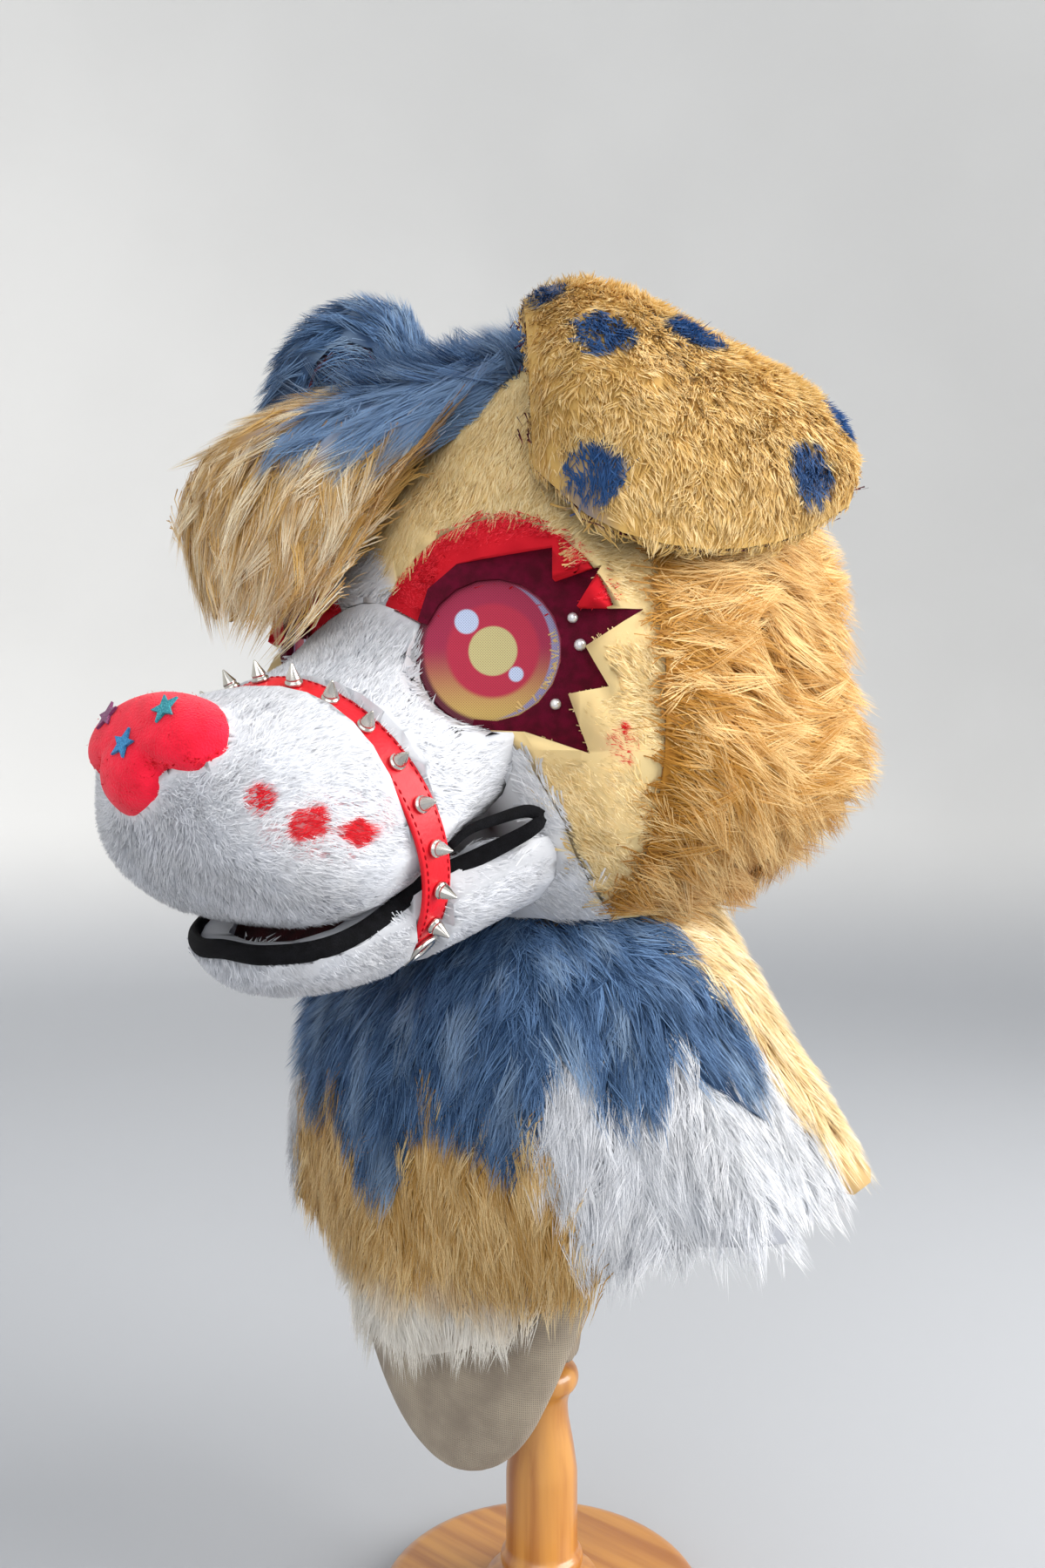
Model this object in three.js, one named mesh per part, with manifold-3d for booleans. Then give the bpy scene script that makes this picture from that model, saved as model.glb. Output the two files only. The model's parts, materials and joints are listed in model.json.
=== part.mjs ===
// A dog costume head with a neck bib, worn by a canvas display form on a turned wooden stand.
// Millimetres, +Z up. The muzzle points along -Y and the dog's own left side is +X.
// The origin is the middle of the base's underside. Outer surfaces lie at the tips of the fur.
import * as THREE from "three";
import { mergeVertices } from "three/addons/utils/BufferGeometryUtils.js";
import Module from "manifold-3d";

const wasm = await Module();
wasm.setup();

// Driving sizes
const SEAM = 0.3; // gap between two sewn pieces
const BASE_RADIUS = 92;
const BASE_THICK = 20;
const POST_RADIUS = 20;
const FORM_TOP = 679.2; // crown of the canvas form, which carries the head
const HEAD_MID = { y: -5, z: 545 };
const BACK_SEAM = 24; // y of the seam between the sides of the head and its back
const WALL_SHARE = 0.86; // inner size of the foam head over its outer size
const MUZZLE_WALL = 14;
const JAW_WALL = 11;
const EYE = { x: 69, y: -117, z: 531, radius: 36, yaw: 32, thick: 3 };
const LID_THICK = 3;
const EAR_THICK = 22;
const EAR_SPLIT = -0.3; // where the lining starts, from 1 outside to -1 inside
const BIB_WALL = 13;
const STRAP = { y: -167.5, z: 448.5, halfX: 79, halfZ: 71, tilt: 22, width: 17, thick: 3 };
const SPIKE = { count: 17, pitch: 20.7, height: 10, radius: 4 };
const BUCKLE = { angle: 141, halfAngle: 6, halfWidth: 6.4, wire: 1.5 };
const LIP_HIGH = 10;
const LIP_DEEP = 6;

// Tables, a row for each section, from the bottom up or from the front back

const HEAD_RINGS = [
  { z: 404, halfWidth: 92, front: 78, back: 96 },
  { z: 424, halfWidth: 114, front: 100, back: 110 },
  { z: 450, halfWidth: 132, front: 117, back: 124 },
  { z: 485, halfWidth: 142, front: 127, back: 136 },
  { z: 525, halfWidth: 144, front: 131, back: 143 },
  { z: 565, halfWidth: 139, front: 129, back: 146 },
  { z: 605, halfWidth: 129, front: 117, back: 142 },
  { z: 640, halfWidth: 115, front: 99, back: 131 },
  { z: 667, halfWidth: 95, front: 77, back: 110 },
  { z: 687, halfWidth: 69, front: 53, back: 80 },
  { z: 698, halfWidth: 40, front: 30, back: 46 },
  { z: 702, halfWidth: 1, front: 1, back: 1 },
];

const FORM_RINGS = [
  { z: 150, halfWidth: 22, front: 24, back: 20 },
  { z: 190, halfWidth: 28, front: 40, back: 22 },
  { z: 222, halfWidth: 46, front: 70, back: 26 },
  { z: 240, halfWidth: 74, front: 84, back: 34 },
  { z: 258, halfWidth: 92, front: 88, back: 46 },
  { z: 285, halfWidth: 92, front: 82, back: 58 },
  { z: 315, halfWidth: 76, front: 70, back: 60 },
  { z: 345, halfWidth: 60, front: 58, back: 58 },
  { z: 420, halfWidth: 58, front: 60, back: 64 },
  { z: 460, halfWidth: 68, front: 82, back: 84 },
  { z: 510, halfWidth: 77, front: 90, back: 98 },
  { z: 570, halfWidth: 80, front: 90, back: 102 },
  { z: 615, halfWidth: 74, front: 80, back: 92 },
  { z: 648, halfWidth: 54, front: 56, back: 66 },
  { z: 670, halfWidth: 24, front: 25, back: 31 },
  { z: FORM_TOP, halfWidth: 1, front: 1, back: 1 },
];

const CHEST_RINGS = [
  { z: 116, halfWidth: 1, front: 72, back: -70 },
  { z: 119, halfWidth: 18, front: 76, back: -62 },
  { z: 128, halfWidth: 34, front: 80, back: -58 },
  { z: 145, halfWidth: 50, front: 83, back: -56 },
  { z: 170, halfWidth: 64, front: 86, back: -52 },
  { z: 200, halfWidth: 77, front: 87, back: -48 },
  { z: 225, halfWidth: 88, front: 86, back: -44 },
];

const MUZZLE_RINGS = [
  { y: -262, halfWidth: 1, top: 470, bottom: 468, pinch: 0 },
  { y: -259, halfWidth: 28, top: 488, bottom: 448, pinch: 0 },
  { y: -250, halfWidth: 46, top: 499, bottom: 433, pinch: 0 },
  { y: -236, halfWidth: 60, top: 506, bottom: 421, pinch: 0 },
  { y: -214, halfWidth: 71, top: 511, bottom: 409, pinch: 0 },
  { y: -190, halfWidth: 77, top: 518, bottom: 406, pinch: 0.04 },
  { y: -168, halfWidth: 80, top: 527, bottom: 412, pinch: 0.2 },
  { y: -152, halfWidth: 82, top: 538, bottom: 423, pinch: 0.38 },
  { y: -138, halfWidth: 84, top: 554, bottom: 436, pinch: 0.58 },
  { y: -122, halfWidth: 86, top: 567, bottom: 446, pinch: 0.7 },
  { y: -80, halfWidth: 86, top: 571, bottom: 446, pinch: 0.7 },
];

const JAW_RINGS = [
  { y: -212, halfWidth: 1, top: 406, bottom: 388, pinch: 0 },
  { y: -209, halfWidth: 30, top: 412, bottom: 381, pinch: 0 },
  { y: -199, halfWidth: 47, top: 424, bottom: 375, pinch: 0 },
  { y: -182, halfWidth: 57, top: 440, bottom: 373, pinch: 0 },
  { y: -162, halfWidth: 66, top: 462, bottom: 374, pinch: 0 },
  { y: -141, halfWidth: 76, top: 480, bottom: 379, pinch: 0 },
  { y: -118, halfWidth: 91, top: 500, bottom: 388, pinch: 0 },
  { y: -80, halfWidth: 91, top: 500, bottom: 400, pinch: 0 },
];

// The bib from the neck seam down to the hem; share is the way down
const BIB_RINGS = [
  { share: 0, halfWidth: 97, front: 88, back: 101 },
  { share: 0.08, halfWidth: 106, front: 110, back: 104 },
  { share: 0.25, halfWidth: 121, front: 128, back: 111 },
  { share: 0.5, halfWidth: 137, front: 128, back: 136 },
  { share: 0.75, halfWidth: 152, front: 119, back: 176 },
  { share: 1, halfWidth: 164, front: 108, back: 200 },
];
const BIB_TOP = 403.7;
const BIB_TOP_FRONT = 397;
const HEM_FRONT = 186;
const HEM_SIDE = 257;

// Ear sections from front to back: the seam on the head, the fold, the bulge and the free edge
const NEAR_EAR = [
  { seam: [50, -66, 660], fold: [58, -84, 702], bulge: [80, -106, 668], edge: [90, -113, 612] },
  { seam: [60, -50, 680], fold: [76, -56, 710], bulge: [112, -90, 664], edge: [124, -106, 582] },
  { seam: [82, -14, 678], fold: [104, -12, 692], bulge: [140, -44, 650], edge: [150, -64, 574] },
  { seam: [98, 30, 662], fold: [130, 30, 674], bulge: [160, 4, 638], edge: [166, -16, 584] },
  { seam: [106, 62, 640], fold: [146, 66, 652], bulge: [168, 48, 634], edge: [172, 30, 606] },
];
// The ear on the dog's right, which folds higher, as if it were on the left
const FAR_EAR = [
  { seam: [46, -64, 660], fold: [56, -84, 708], bulge: [68, -104, 696], edge: [78, -116, 650] },
  { seam: [50, -44, 680], fold: [70, -62, 734], bulge: [96, -92, 716], edge: [108, -114, 640] },
  { seam: [66, -10, 684], fold: [92, -32, 746], bulge: [128, -64, 712], edge: [142, -90, 622] },
  { seam: [90, 28, 668], fold: [120, 6, 724], bulge: [156, -22, 684], edge: [166, -42, 612] },
  { seam: [102, 60, 642], fold: [142, 52, 682], bulge: [168, 34, 658], edge: [174, 14, 622] },
];

// The fringe from its edge over the dog's left eye to its far edge: root on the crown, two points, tip
const FRINGE_PATHS = [
  { root: [44, -6, 698], over: [42, -62, 675], front: [27, -122, 634], tip: [-24, -152, 570] },
  { root: [22, 4, 705], over: [12, -84, 672], front: [-16, -148, 628], tip: [-50, -161, 549] },
  { root: [-4, 10, 708], over: [-24, -92, 671], front: [-56, -162, 628], tip: [-78, -160, 545] },
  { root: [-28, 12, 705], over: [-56, -94, 676], front: [-98, -162, 626], tip: [-98, -156, 558] },
  { root: [-46, 10, 697], over: [-84, -84, 678], front: [-122, -142, 626], tip: [-120, -144, 582] },
];
const FRINGE_THICK = 22;
const FRINGE_LOCKS = 6;
const FRINGE_BLUE_SHARE = 0.4;

const CHEEK_RISES = [
  { z: 408, rise: 1 },
  { z: 432, rise: 10 },
  { z: 468, rise: 29 },
  { z: 500, rise: 20 },
  { z: 535, rise: 9 },
  { z: 575, rise: 13 },
  { z: 618, rise: 2 },
];

const POST_PROFILE = [
  { radius: 33, z: BASE_THICK + SEAM },
  { radius: 33, z: 24 },
  { radius: 30, z: 28 },
  { radius: 21, z: 31 },
  { radius: 23, z: 35 },
  { radius: 23, z: 40 },
  { radius: POST_RADIUS, z: 43 },
  { radius: POST_RADIUS, z: 86 },
  { radius: 18, z: 100 },
  { radius: 15, z: 116 },
  { radius: 14.5, z: 124 },
  { radius: 16, z: 130 },
  { radius: 20, z: 134 },
  { radius: 21, z: 139 },
  { radius: 19, z: 144 },
  { radius: 13, z: 147 },
  { radius: 13, z: 210 },
];

// Outlines: the white of the lower face seen from the front, and the mouth seen from the side
const WHITE_HALF = [
  [0, 498], [70, 498], [90, 480], [98, 452], [94, 425], [84, 396], [0, 390],
];
const MOUTH_LINE = [
  [-240, 398], [-212, 398], [-199, 400], [-183, 407], [-166, 420],
  [-152, 428], [-138, 436], [-127, 444], [-70, 450],
];

const V = (x, y, z) => new THREE.Vector3(x, y, z);
const rad = THREE.MathUtils.degToRad;
const lerp = THREE.MathUtils.lerp;

// A smooth curve through one column of a table, with the slope at each row taken from its neighbours
function column(rows, at, name) {
  const x = rows.map((row) => row[at]);
  const y = rows.map((row) => row[name]);
  const slope = y.map((_, i) => {
    const a = Math.max(i - 1, 0);
    const b = Math.min(i + 1, y.length - 1);
    return (y[b] - y[a]) / (x[b] - x[a]);
  });
  return (value) => {
    const last = x.length - 2;
    let i = 0;
    while (i < last && value > x[i + 1]) i += 1;
    const span = x[i + 1] - x[i];
    const t = THREE.MathUtils.clamp((value - x[i]) / span, 0, 1);
    const t2 = t * t;
    const t3 = t2 * t;
    return (
      y[i] * (2 * t3 - 3 * t2 + 1) +
      slope[i] * span * (t3 - 2 * t2 + t) +
      y[i + 1] * (3 * t2 - 2 * t3) +
      slope[i + 1] * span * (t3 - t2)
    );
  };
}

// A point on a rounded box outline: angle 0 is the front and 90 degrees the dog's left
function roundedRing(angle, { halfWidth, front, back }, power) {
  const s = Math.sin(angle);
  const c = Math.cos(angle);
  const bend = (value) => Math.sign(value) * Math.abs(value) ** (2 / power);
  return [halfWidth * bend(s), -(c > 0 ? front : back) * bend(c)];
}

// Points over a grid: rows run along v and each row runs along u
function grid(nu, nv, point) {
  return Array.from({ length: nv + 1 }, (_, j) =>
    Array.from({ length: nu + 1 }, (_, i) => point(i / nu, j / nv)),
  );
}

function geometryOf(points, triangles) {
  const geometry = new THREE.BufferGeometry();
  const numbers = points.flatMap((p) => p.toArray());
  geometry.setAttribute("position", new THREE.Float32BufferAttribute(numbers, 3));
  geometry.setIndex(triangles);
  return mergeVertices(geometry, 1e-3);
}

// Six times the volume inside a closed mesh, negative when its faces point inwards
function signedVolume(points, triangles) {
  let sum = 0;
  for (let i = 0; i < triangles.length; i += 3) {
    const [a, b, c] = [0, 1, 2].map((k) => points[triangles[i + k]]);
    sum += a.dot(V(0, 0, 0).crossVectors(b, c));
  }
  return sum;
}

function closedGeometry(points, triangles) {
  if (signedVolume(points, triangles) < 0) triangles.reverse();
  return geometryOf(points, triangles);
}

// A solid through closed rings of points, with a fan over each end
function loft(rings) {
  const n = rings[0].length;
  const points = rings.flat();
  const triangles = [];
  for (let j = 0; j + 1 < rings.length; j += 1)
    for (let i = 0; i < n; i += 1) {
      const a = j * n + i;
      const b = j * n + ((i + 1) % n);
      triangles.push(a, b, a + n, b, b + n, a + n);
    }
  [0, rings.length - 1].forEach((j) => {
    const middle = rings[j].reduce((sum, p) => sum.add(p), V(0, 0, 0)).divideScalar(n);
    points.push(middle);
    for (let i = 0; i < n; i += 1) {
      const a = j * n + i;
      const b = j * n + ((i + 1) % n);
      if (j === 0) triangles.push(points.length - 1, b, a);
      else triangles.push(points.length - 1, a, b);
    }
  });
  return closedGeometry(points, triangles);
}

// A wall between two grids of points; round is true where each row closes on itself
function wall(outer, inner, round = false) {
  const rows = outer.length;
  const columns = outer[0].length - (round ? 1 : 0);
  const points = [outer, inner].flatMap((sheet) => sheet.flatMap((row) => row.slice(0, columns)));
  const at = (side, j, i) => side * rows * columns + j * columns + (i % columns);
  const triangles = [];
  const quad = (a, b, c, d) => triangles.push(a, b, c, a, c, d);
  const across = round ? columns : columns - 1;
  for (let j = 0; j + 1 < rows; j += 1)
    for (let i = 0; i < across; i += 1) {
      quad(at(0, j, i), at(0, j, i + 1), at(0, j + 1, i + 1), at(0, j + 1, i));
      quad(at(1, j, i), at(1, j + 1, i), at(1, j + 1, i + 1), at(1, j, i + 1));
    }
  for (let i = 0; i < across; i += 1) {
    quad(at(0, 0, i), at(1, 0, i), at(1, 0, i + 1), at(0, 0, i + 1));
    quad(at(0, rows - 1, i), at(0, rows - 1, i + 1), at(1, rows - 1, i + 1), at(1, rows - 1, i));
  }
  if (!round)
    for (let j = 0; j + 1 < rows; j += 1) {
      quad(at(0, j, 0), at(0, j + 1, 0), at(1, j + 1, 0), at(1, j, 0));
      const end = columns - 1;
      quad(at(0, j, end), at(1, j, end), at(1, j + 1, end), at(0, j + 1, end));
    }
  return closedGeometry(points, triangles);
}

// One layer of a padded sheet, between two shares of its thickness: 1 is its outside and -1 its inside
function pad(sheet, thick, from, to, us, vs) {
  const step = 1e-3;
  const normal = (u, v) => {
    const du = sheet(Math.min(u + step, 1), v).sub(sheet(Math.max(u - step, 0), v));
    const dv = sheet(u, Math.min(v + step, 1)).sub(sheet(u, Math.max(v - step, 0)));
    return du.cross(dv).normalize();
  };
  const side = (share) =>
    vs.map((v) => us.map((u) => sheet(u, v).addScaledVector(normal(u, v), (share * thick(u, v)) / 2)));
  return wall(side(from), side(to));
}
function stations(from, to, steps) {
  return Array.from({ length: steps + 1 }, (_, i) => lerp(from, to, i / steps));
}

// Joining and cutting
function solidOf(geometry) {
  const bare = geometry.index ? geometry.toNonIndexed() : geometry.clone();
  Object.keys(bare.attributes)
    .filter((name) => name !== "position")
    .forEach((name) => bare.deleteAttribute(name));
  const merged = mergeVertices(bare, 1e-3);
  return new wasm.Manifold(
    new wasm.Mesh({
      numProp: 3,
      vertProperties: merged.attributes.position.array,
      triVerts: new Uint32Array(merged.index.array),
    }),
  );
}

function fromSolid(solid) {
  const mesh = solid.getMesh();
  const geometry = new THREE.BufferGeometry();
  geometry.setAttribute("position", new THREE.Float32BufferAttribute(mesh.vertProperties, 3));
  geometry.setIndex([...mesh.triVerts]);
  return geometry;
}

const block = (width, depth, height, x, y, z) =>
  solidOf(new THREE.BoxGeometry(width, depth, height).translate(x, y, z));

// The largest of the bodies that a cut leaves
const largest = (solid) => solid.decompose().sort((a, b) => b.volume() - a.volume())[0];

// The head, as rings round an upright axis

const headRow = Object.fromEntries(
  ["z", "halfWidth", "front", "back"].map((name) => [
    name,
    column(HEAD_RINGS.map((row, index) => ({ ...row, index })), "index", name),
  ]),
);
const HEAD_ROWS = HEAD_RINGS.length - 1;
const HEAD_POWER = 2.8;

function headRing(row, sides, grow = 0) {
  const size = {
    halfWidth: headRow.halfWidth(row) + grow,
    front: headRow.front(row) + grow,
    back: headRow.back(row) + grow,
  };
  const z = headRow.z(row) + (grow * row) / HEAD_ROWS;
  return Array.from({ length: sides }, (_, i) => {
    const [x, y] = roundedRing((2 * Math.PI * i) / sides, size, HEAD_POWER);
    return V(x, y + HEAD_MID.y, z);
  });
}

// A point on the head at a height, pushed out from it
const headRowAt = (z) => {
  let low = 0;
  let high = HEAD_ROWS;
  for (let i = 0; i < 30; i += 1) {
    const middle = (low + high) / 2;
    if (headRow.z(middle) < z) low = middle;
    else high = middle;
  }
  return (low + high) / 2;
};
function headPoint(angle, z, out) {
  const row = headRowAt(z);
  const size = {
    halfWidth: headRow.halfWidth(row) + out,
    front: headRow.front(row) + out,
    back: headRow.back(row) + out,
  };
  const [x, y] = roundedRing(angle, size, HEAD_POWER);
  return V(x, y + HEAD_MID.y, z);
}

const HEAD_SIDES = 32;
const HEAD_STEPS = 11;
function headSolid(grow) {
  const rows = Array.from({ length: HEAD_STEPS + 1 }, (_, j) => (HEAD_ROWS * j) / HEAD_STEPS);
  return solidOf(loft(rows.map((row) => headRing(row, HEAD_SIDES, grow))));
}

function headInside() {
  const steps = 7;
  const rows = Array.from({ length: steps + 1 }, (_, j) => (HEAD_ROWS * j) / steps);
  const rings = rows.map((row) => headRing(row, 20));
  rings.forEach((ring) =>
    ring.forEach((p) => {
      p.x *= WALL_SHARE;
      p.y = HEAD_MID.y + (p.y - HEAD_MID.y) * WALL_SHARE;
      p.z = HEAD_MID.z + (p.z - HEAD_MID.z) * WALL_SHARE;
    }),
  );
  const below = rings[0].map((p) => V(p.x, p.y, BIB_TOP - 40));
  return solidOf(loft([below, ...rings]));
}

// Tubes with sections in the upright plane across the muzzle; pinch narrows their upper half

const SNOUT_POWER = 2.5;
const MUZZLE_LOW_POWER = 3;
const JAW_LOW_POWER = 2.1;

function snoutRings(table, inset, sides, steps, lowPower) {
  const rows = table.map((row, index) => ({ ...row, index }));
  const size = ["y", "halfWidth", "top", "bottom", "pinch"].map((name) => column(rows, "index", name));
  const bend = (value, power) => Math.sign(value) * Math.abs(value) ** (2 / power);
  return Array.from({ length: steps + 1 }, (_, j) => {
    const [y, halfWidth, top, bottom, pinch] = size.map((at) => at(((rows.length - 1) * j) / steps));
    const middle = (top + bottom) / 2;
    const high = Math.max((top - bottom) / 2 - inset, 0.5);
    const wide = Math.max(halfWidth - inset, 0.5);
    return Array.from({ length: sides }, (_, i) => {
      const angle = (2 * Math.PI * i) / sides;
      const power = Math.cos(angle) < 0 ? lowPower : SNOUT_POWER;
      const up = bend(Math.cos(angle), power);
      const narrow = 1 - pinch * Math.max(up, 0) ** 2;
      return V(wide * bend(Math.sin(angle), power) * narrow, Math.min(y + inset, -60), middle + high * up);
    });
  });
}
const snout = (...sizes) => solidOf(loft(snoutRings(...sizes)));
const muzzleOuter = (grow) => snout(MUZZLE_RINGS, -grow, 26, 11, MUZZLE_LOW_POWER);
const muzzleInner = () => snout(MUZZLE_RINGS, MUZZLE_WALL, 14, 5, MUZZLE_LOW_POWER);
const jawOuter = (grow) => snout(JAW_RINGS, -grow, 22, 7, JAW_LOW_POWER);
const jawInner = (grow) => snout(JAW_RINGS, JAW_WALL + grow, 14, 5, JAW_LOW_POWER);

// The muzzle strap's ring, in its own tilted plane: across is round the ring, along is the strap's width

const STRAP_SIDES = 30;
const strapTilt = rad(STRAP.tilt);
function strapPoint(angle, out, along) {
  const x = (STRAP.halfX + out) * Math.sin(angle);
  const up = (STRAP.halfZ + out) * Math.cos(angle);
  return V(
    x,
    STRAP.y - up * Math.sin(strapTilt) - along * Math.cos(strapTilt),
    STRAP.z + up * Math.cos(strapTilt) - along * Math.sin(strapTilt),
  );
}
function strapBand(inner, outer, halfWidth, sides) {
  const sheet = (out) =>
    grid(sides, 1, (u, v) => strapPoint(2 * Math.PI * u, out, lerp(-halfWidth, halfWidth, v)));
  return wall(sheet(outer), sheet(inner), true);
}

// The eye's own plane: right is towards the ear, up is up, out is towards the viewer

function eyeFrame(side) {
  const yaw = rad(EYE.yaw) * side;
  const out = V(Math.sin(yaw), -Math.cos(yaw), 0);
  const right = V(Math.cos(yaw), Math.sin(yaw), 0).multiplyScalar(side);
  const up = V(0, 0, 1);
  const origin = V(EYE.x * side, EYE.y, EYE.z);
  return new THREE.Matrix4().makeBasis(right, up, out).setPosition(origin);
}

// A flat outline in the eye's plane, made a plate between two distances from it
function eyePlate(outline, side, from, to) {
  const shape = new THREE.Shape(outline.map(([x, y]) => new THREE.Vector2(x, y)));
  const plate = new THREE.ExtrudeGeometry(shape, { depth: to - from, bevelEnabled: false, steps: 1 });
  plate.translate(0, 0, from).applyMatrix4(eyeFrame(side));
  if (side < 0) {
    const flat = plate.index ? plate.toNonIndexed() : plate;
    const position = flat.attributes.position;
    const count = { length: position.count };
    const points = Array.from(count, (_, i) => V(0, 0, 0).fromBufferAttribute(position, i));
    return closedGeometry(points, points.map((_, i) => i));
  }
  return plate;
}

const circle = (radius, sides, from = 0, to = 360) =>
  Array.from({ length: sides + (to - from < 360 ? 1 : 0) }, (_, i) => {
    const angle = rad(lerp(from, to, i / sides));
    return [radius * Math.cos(angle), radius * Math.sin(angle)];
  });

// Lashes of the lid: the direction and reach of each point, and the notch after it
const LASHES = [
  { angle: 58, reach: 54, notch: 46, depth: 42 },
  { angle: 36, reach: 63, notch: 24, depth: 44 },
  { angle: 14, reach: 71, notch: 0, depth: 44 },
  { angle: -18, reach: 57, notch: -30, depth: 42 },
  { angle: -46, reach: 66, notch: -66, depth: 41 },
];
const LID_FROM = -104;
const LID_TO = 158;
const LID_INNER = 32.5;
function lidOutline(grow = 0) {
  const polar = (angle, radius) => [radius * Math.cos(rad(angle)), radius * Math.sin(rad(angle))];
  const outer = [
    polar(LID_TO, EYE.radius + 1 + grow),
    polar(136, 41 + grow),
    polar(112, 42.5 + grow),
    polar(86, 42.5 + grow),
  ];
  LASHES.forEach((lash) => {
    outer.push(polar(lash.angle, lash.reach + grow));
    outer.push(polar(lash.notch, lash.depth + grow));
  });
  outer.push(polar(LID_FROM, EYE.radius + 1 + grow));
  const inner = circle(LID_INNER - grow, 14, LID_FROM, LID_TO);
  return [...outer, ...inner];
}

// The red patch over the lid, as an arch in the eye's plane
function browOutline(grow = 0) {
  const arch = circle(60 + grow, 12, 18, 168).map(([x, y]) => [x * 0.98, y]);
  const under = circle(30, 6, 168, 18);
  return [...arch, ...under];
}

// The ears

const vector = ([x, y, z]) => V(x, y, z);
function earSheet(side) {
  const lines = ["seam", "fold", "bulge", "edge"].map((name) => {
    const points = (side > 0 ? NEAR_EAR : FAR_EAR).map((section) => vector(section[name]));
    return new THREE.CatmullRomCurve3(points, false, "centripetal");
  });
  return (u, v) => {
    const across = new THREE.CatmullRomCurve3(lines.map((line) => line.getPoint(u)), false, "centripetal");
    const p = across.getPoint(v);
    return V(p.x * side, p.y, p.z);
  };
}
const earThick = (u, v) => {
  const ends = Math.sqrt(Math.max(1 - (2 * u - 1) ** 6, 0.06));
  const free = v > 0.8 ? Math.sqrt(Math.max(1 - ((v - 0.8) / 0.2) ** 2, 0.06)) : 1;
  return EAR_THICK * ends * free;
};

// The fringe

function fringeSheet() {
  const lines = ["root", "over", "front", "tip"].map((name) => {
    const points = FRINGE_PATHS.map((row) => vector(row[name]));
    return new THREE.CatmullRomCurve3(points, false, "centripetal");
  });
  return (u, v) => {
    const down = new THREE.CatmullRomCurve3(lines.map((line) => line.getPoint(u)), false, "centripetal");
    return down.getPoint(v);
  };
}
// Locks reach down to different depths, and part at their tips
const lockWave = (u) => Math.abs(Math.sin(Math.PI * FRINGE_LOCKS * u));
const fringeEnd = (u) => 0.8 + 0.2 * lockWave(u);
const fringeThick = (u, share) => {
  const ends = Math.sqrt(Math.max(1 - (2 * u - 1) ** 4, 0.06));
  const parted = 1 - 0.55 * share * (1 - lockWave(u));
  return FRINGE_THICK * ends * parted * Math.sqrt(Math.max(1 - share ** 4, 0.03));
};

// The bib

const bibSize = Object.fromEntries(
  ["halfWidth", "front", "back"].map((name) => [name, column(BIB_RINGS, "share", name)]),
);
const BIB_FOLDS = 9;
const BIB_FOLD_DEEP = 5;
const BIB_POWER = 2.15;
const forward = (angle, power) => Math.max(Math.cos(angle), 0) ** power;
function bibPoint(angle, share, inset) {
  const fold = BIB_FOLD_DEEP * share * share * Math.cos(BIB_FOLDS * angle + 0.6);
  const size = {
    halfWidth: bibSize.halfWidth(share) - inset + fold,
    front: bibSize.front(share) - inset + fold,
    back: bibSize.back(share) - inset + fold,
  };
  const [x, y] = roundedRing(angle, size, BIB_POWER);
  const top = lerp(BIB_TOP, BIB_TOP_FRONT, forward(angle, 1));
  const hem = lerp(HEM_SIDE, HEM_FRONT, forward(angle, 6));
  return V(x, y, lerp(top, hem, share));
}
// Upright lines divide the bib, and the two at the back seams slant backwards towards the hem
const BIB_LINES = 80;
const BACK_LINE = 20;
const FRONT_LINE = 7;
const BACK_SLANT = rad(26);
function bibLine(line, share) {
  const angle = (2 * Math.PI * line) / BIB_LINES;
  const away = 1 - Math.abs(Math.abs(line) - BACK_LINE) / BACK_LINE;
  return angle + Math.sign(line) * BACK_SLANT * (share - 0.35) * away;
}
// Where the blue yoke ends, as a share of the way down: points that hang over the front and sides
const YOKE_POINT_LINES = 6;
const yokeEnd = (line) => {
  const off = Math.abs(line) % YOKE_POINT_LINES;
  return lerp(0.66, 0.43, Math.min(off, YOKE_POINT_LINES - off) / (YOKE_POINT_LINES / 2));
};
// A panel between two lines; shares gives the rows down a line, and step is the lines from column to column
function bibPanel(fromLine, toLine, shares, step = 1) {
  const gap = SEAM / 110 / 2;
  const lines = stations(fromLine, toLine, (toLine - fromLine) / step);
  const rows = shares(0).length;
  const sheet = (inset) =>
    Array.from({ length: rows }, (_, j) =>
      lines.map((line, i) => {
        const share = shares(line)[j];
        const inwards = (i === 0 ? gap : 0) - (i === lines.length - 1 ? gap : 0);
        return bibPoint(bibLine(line, share) + inwards, share, inset);
      }),
    );
  return wall(sheet(0), sheet(BIB_WALL));
}

// Small parts

function lathe(profile, sides) {
  const points = profile.map((row) => new THREE.Vector2(row.radius, row.z));
  points.unshift(new THREE.Vector2(0, profile[0].z));
  points.push(new THREE.Vector2(0, profile[profile.length - 1].z));
  return new THREE.LatheGeometry(points, sides).rotateX(Math.PI / 2);
}

const baseShape = () =>
  lathe(
    [
      { radius: BASE_RADIUS - 3, z: 0 },
      { radius: BASE_RADIUS, z: 3 },
      { radius: BASE_RADIUS, z: BASE_THICK - 7 },
      { radius: BASE_RADIUS - 3, z: BASE_THICK - 2 },
      { radius: BASE_RADIUS - 8, z: BASE_THICK },
    ],
    40,
  );

const spikeShape = () =>
  lathe(
    [
      { radius: SPIKE.radius, z: 0 },
      { radius: SPIKE.radius, z: 1.4 },
      { radius: SPIKE.radius - 1, z: 2.2 },
      { radius: SPIKE.radius - 0.6, z: 3 },
      { radius: 0.4, z: SPIKE.height },
    ],
    8,
  );

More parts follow.
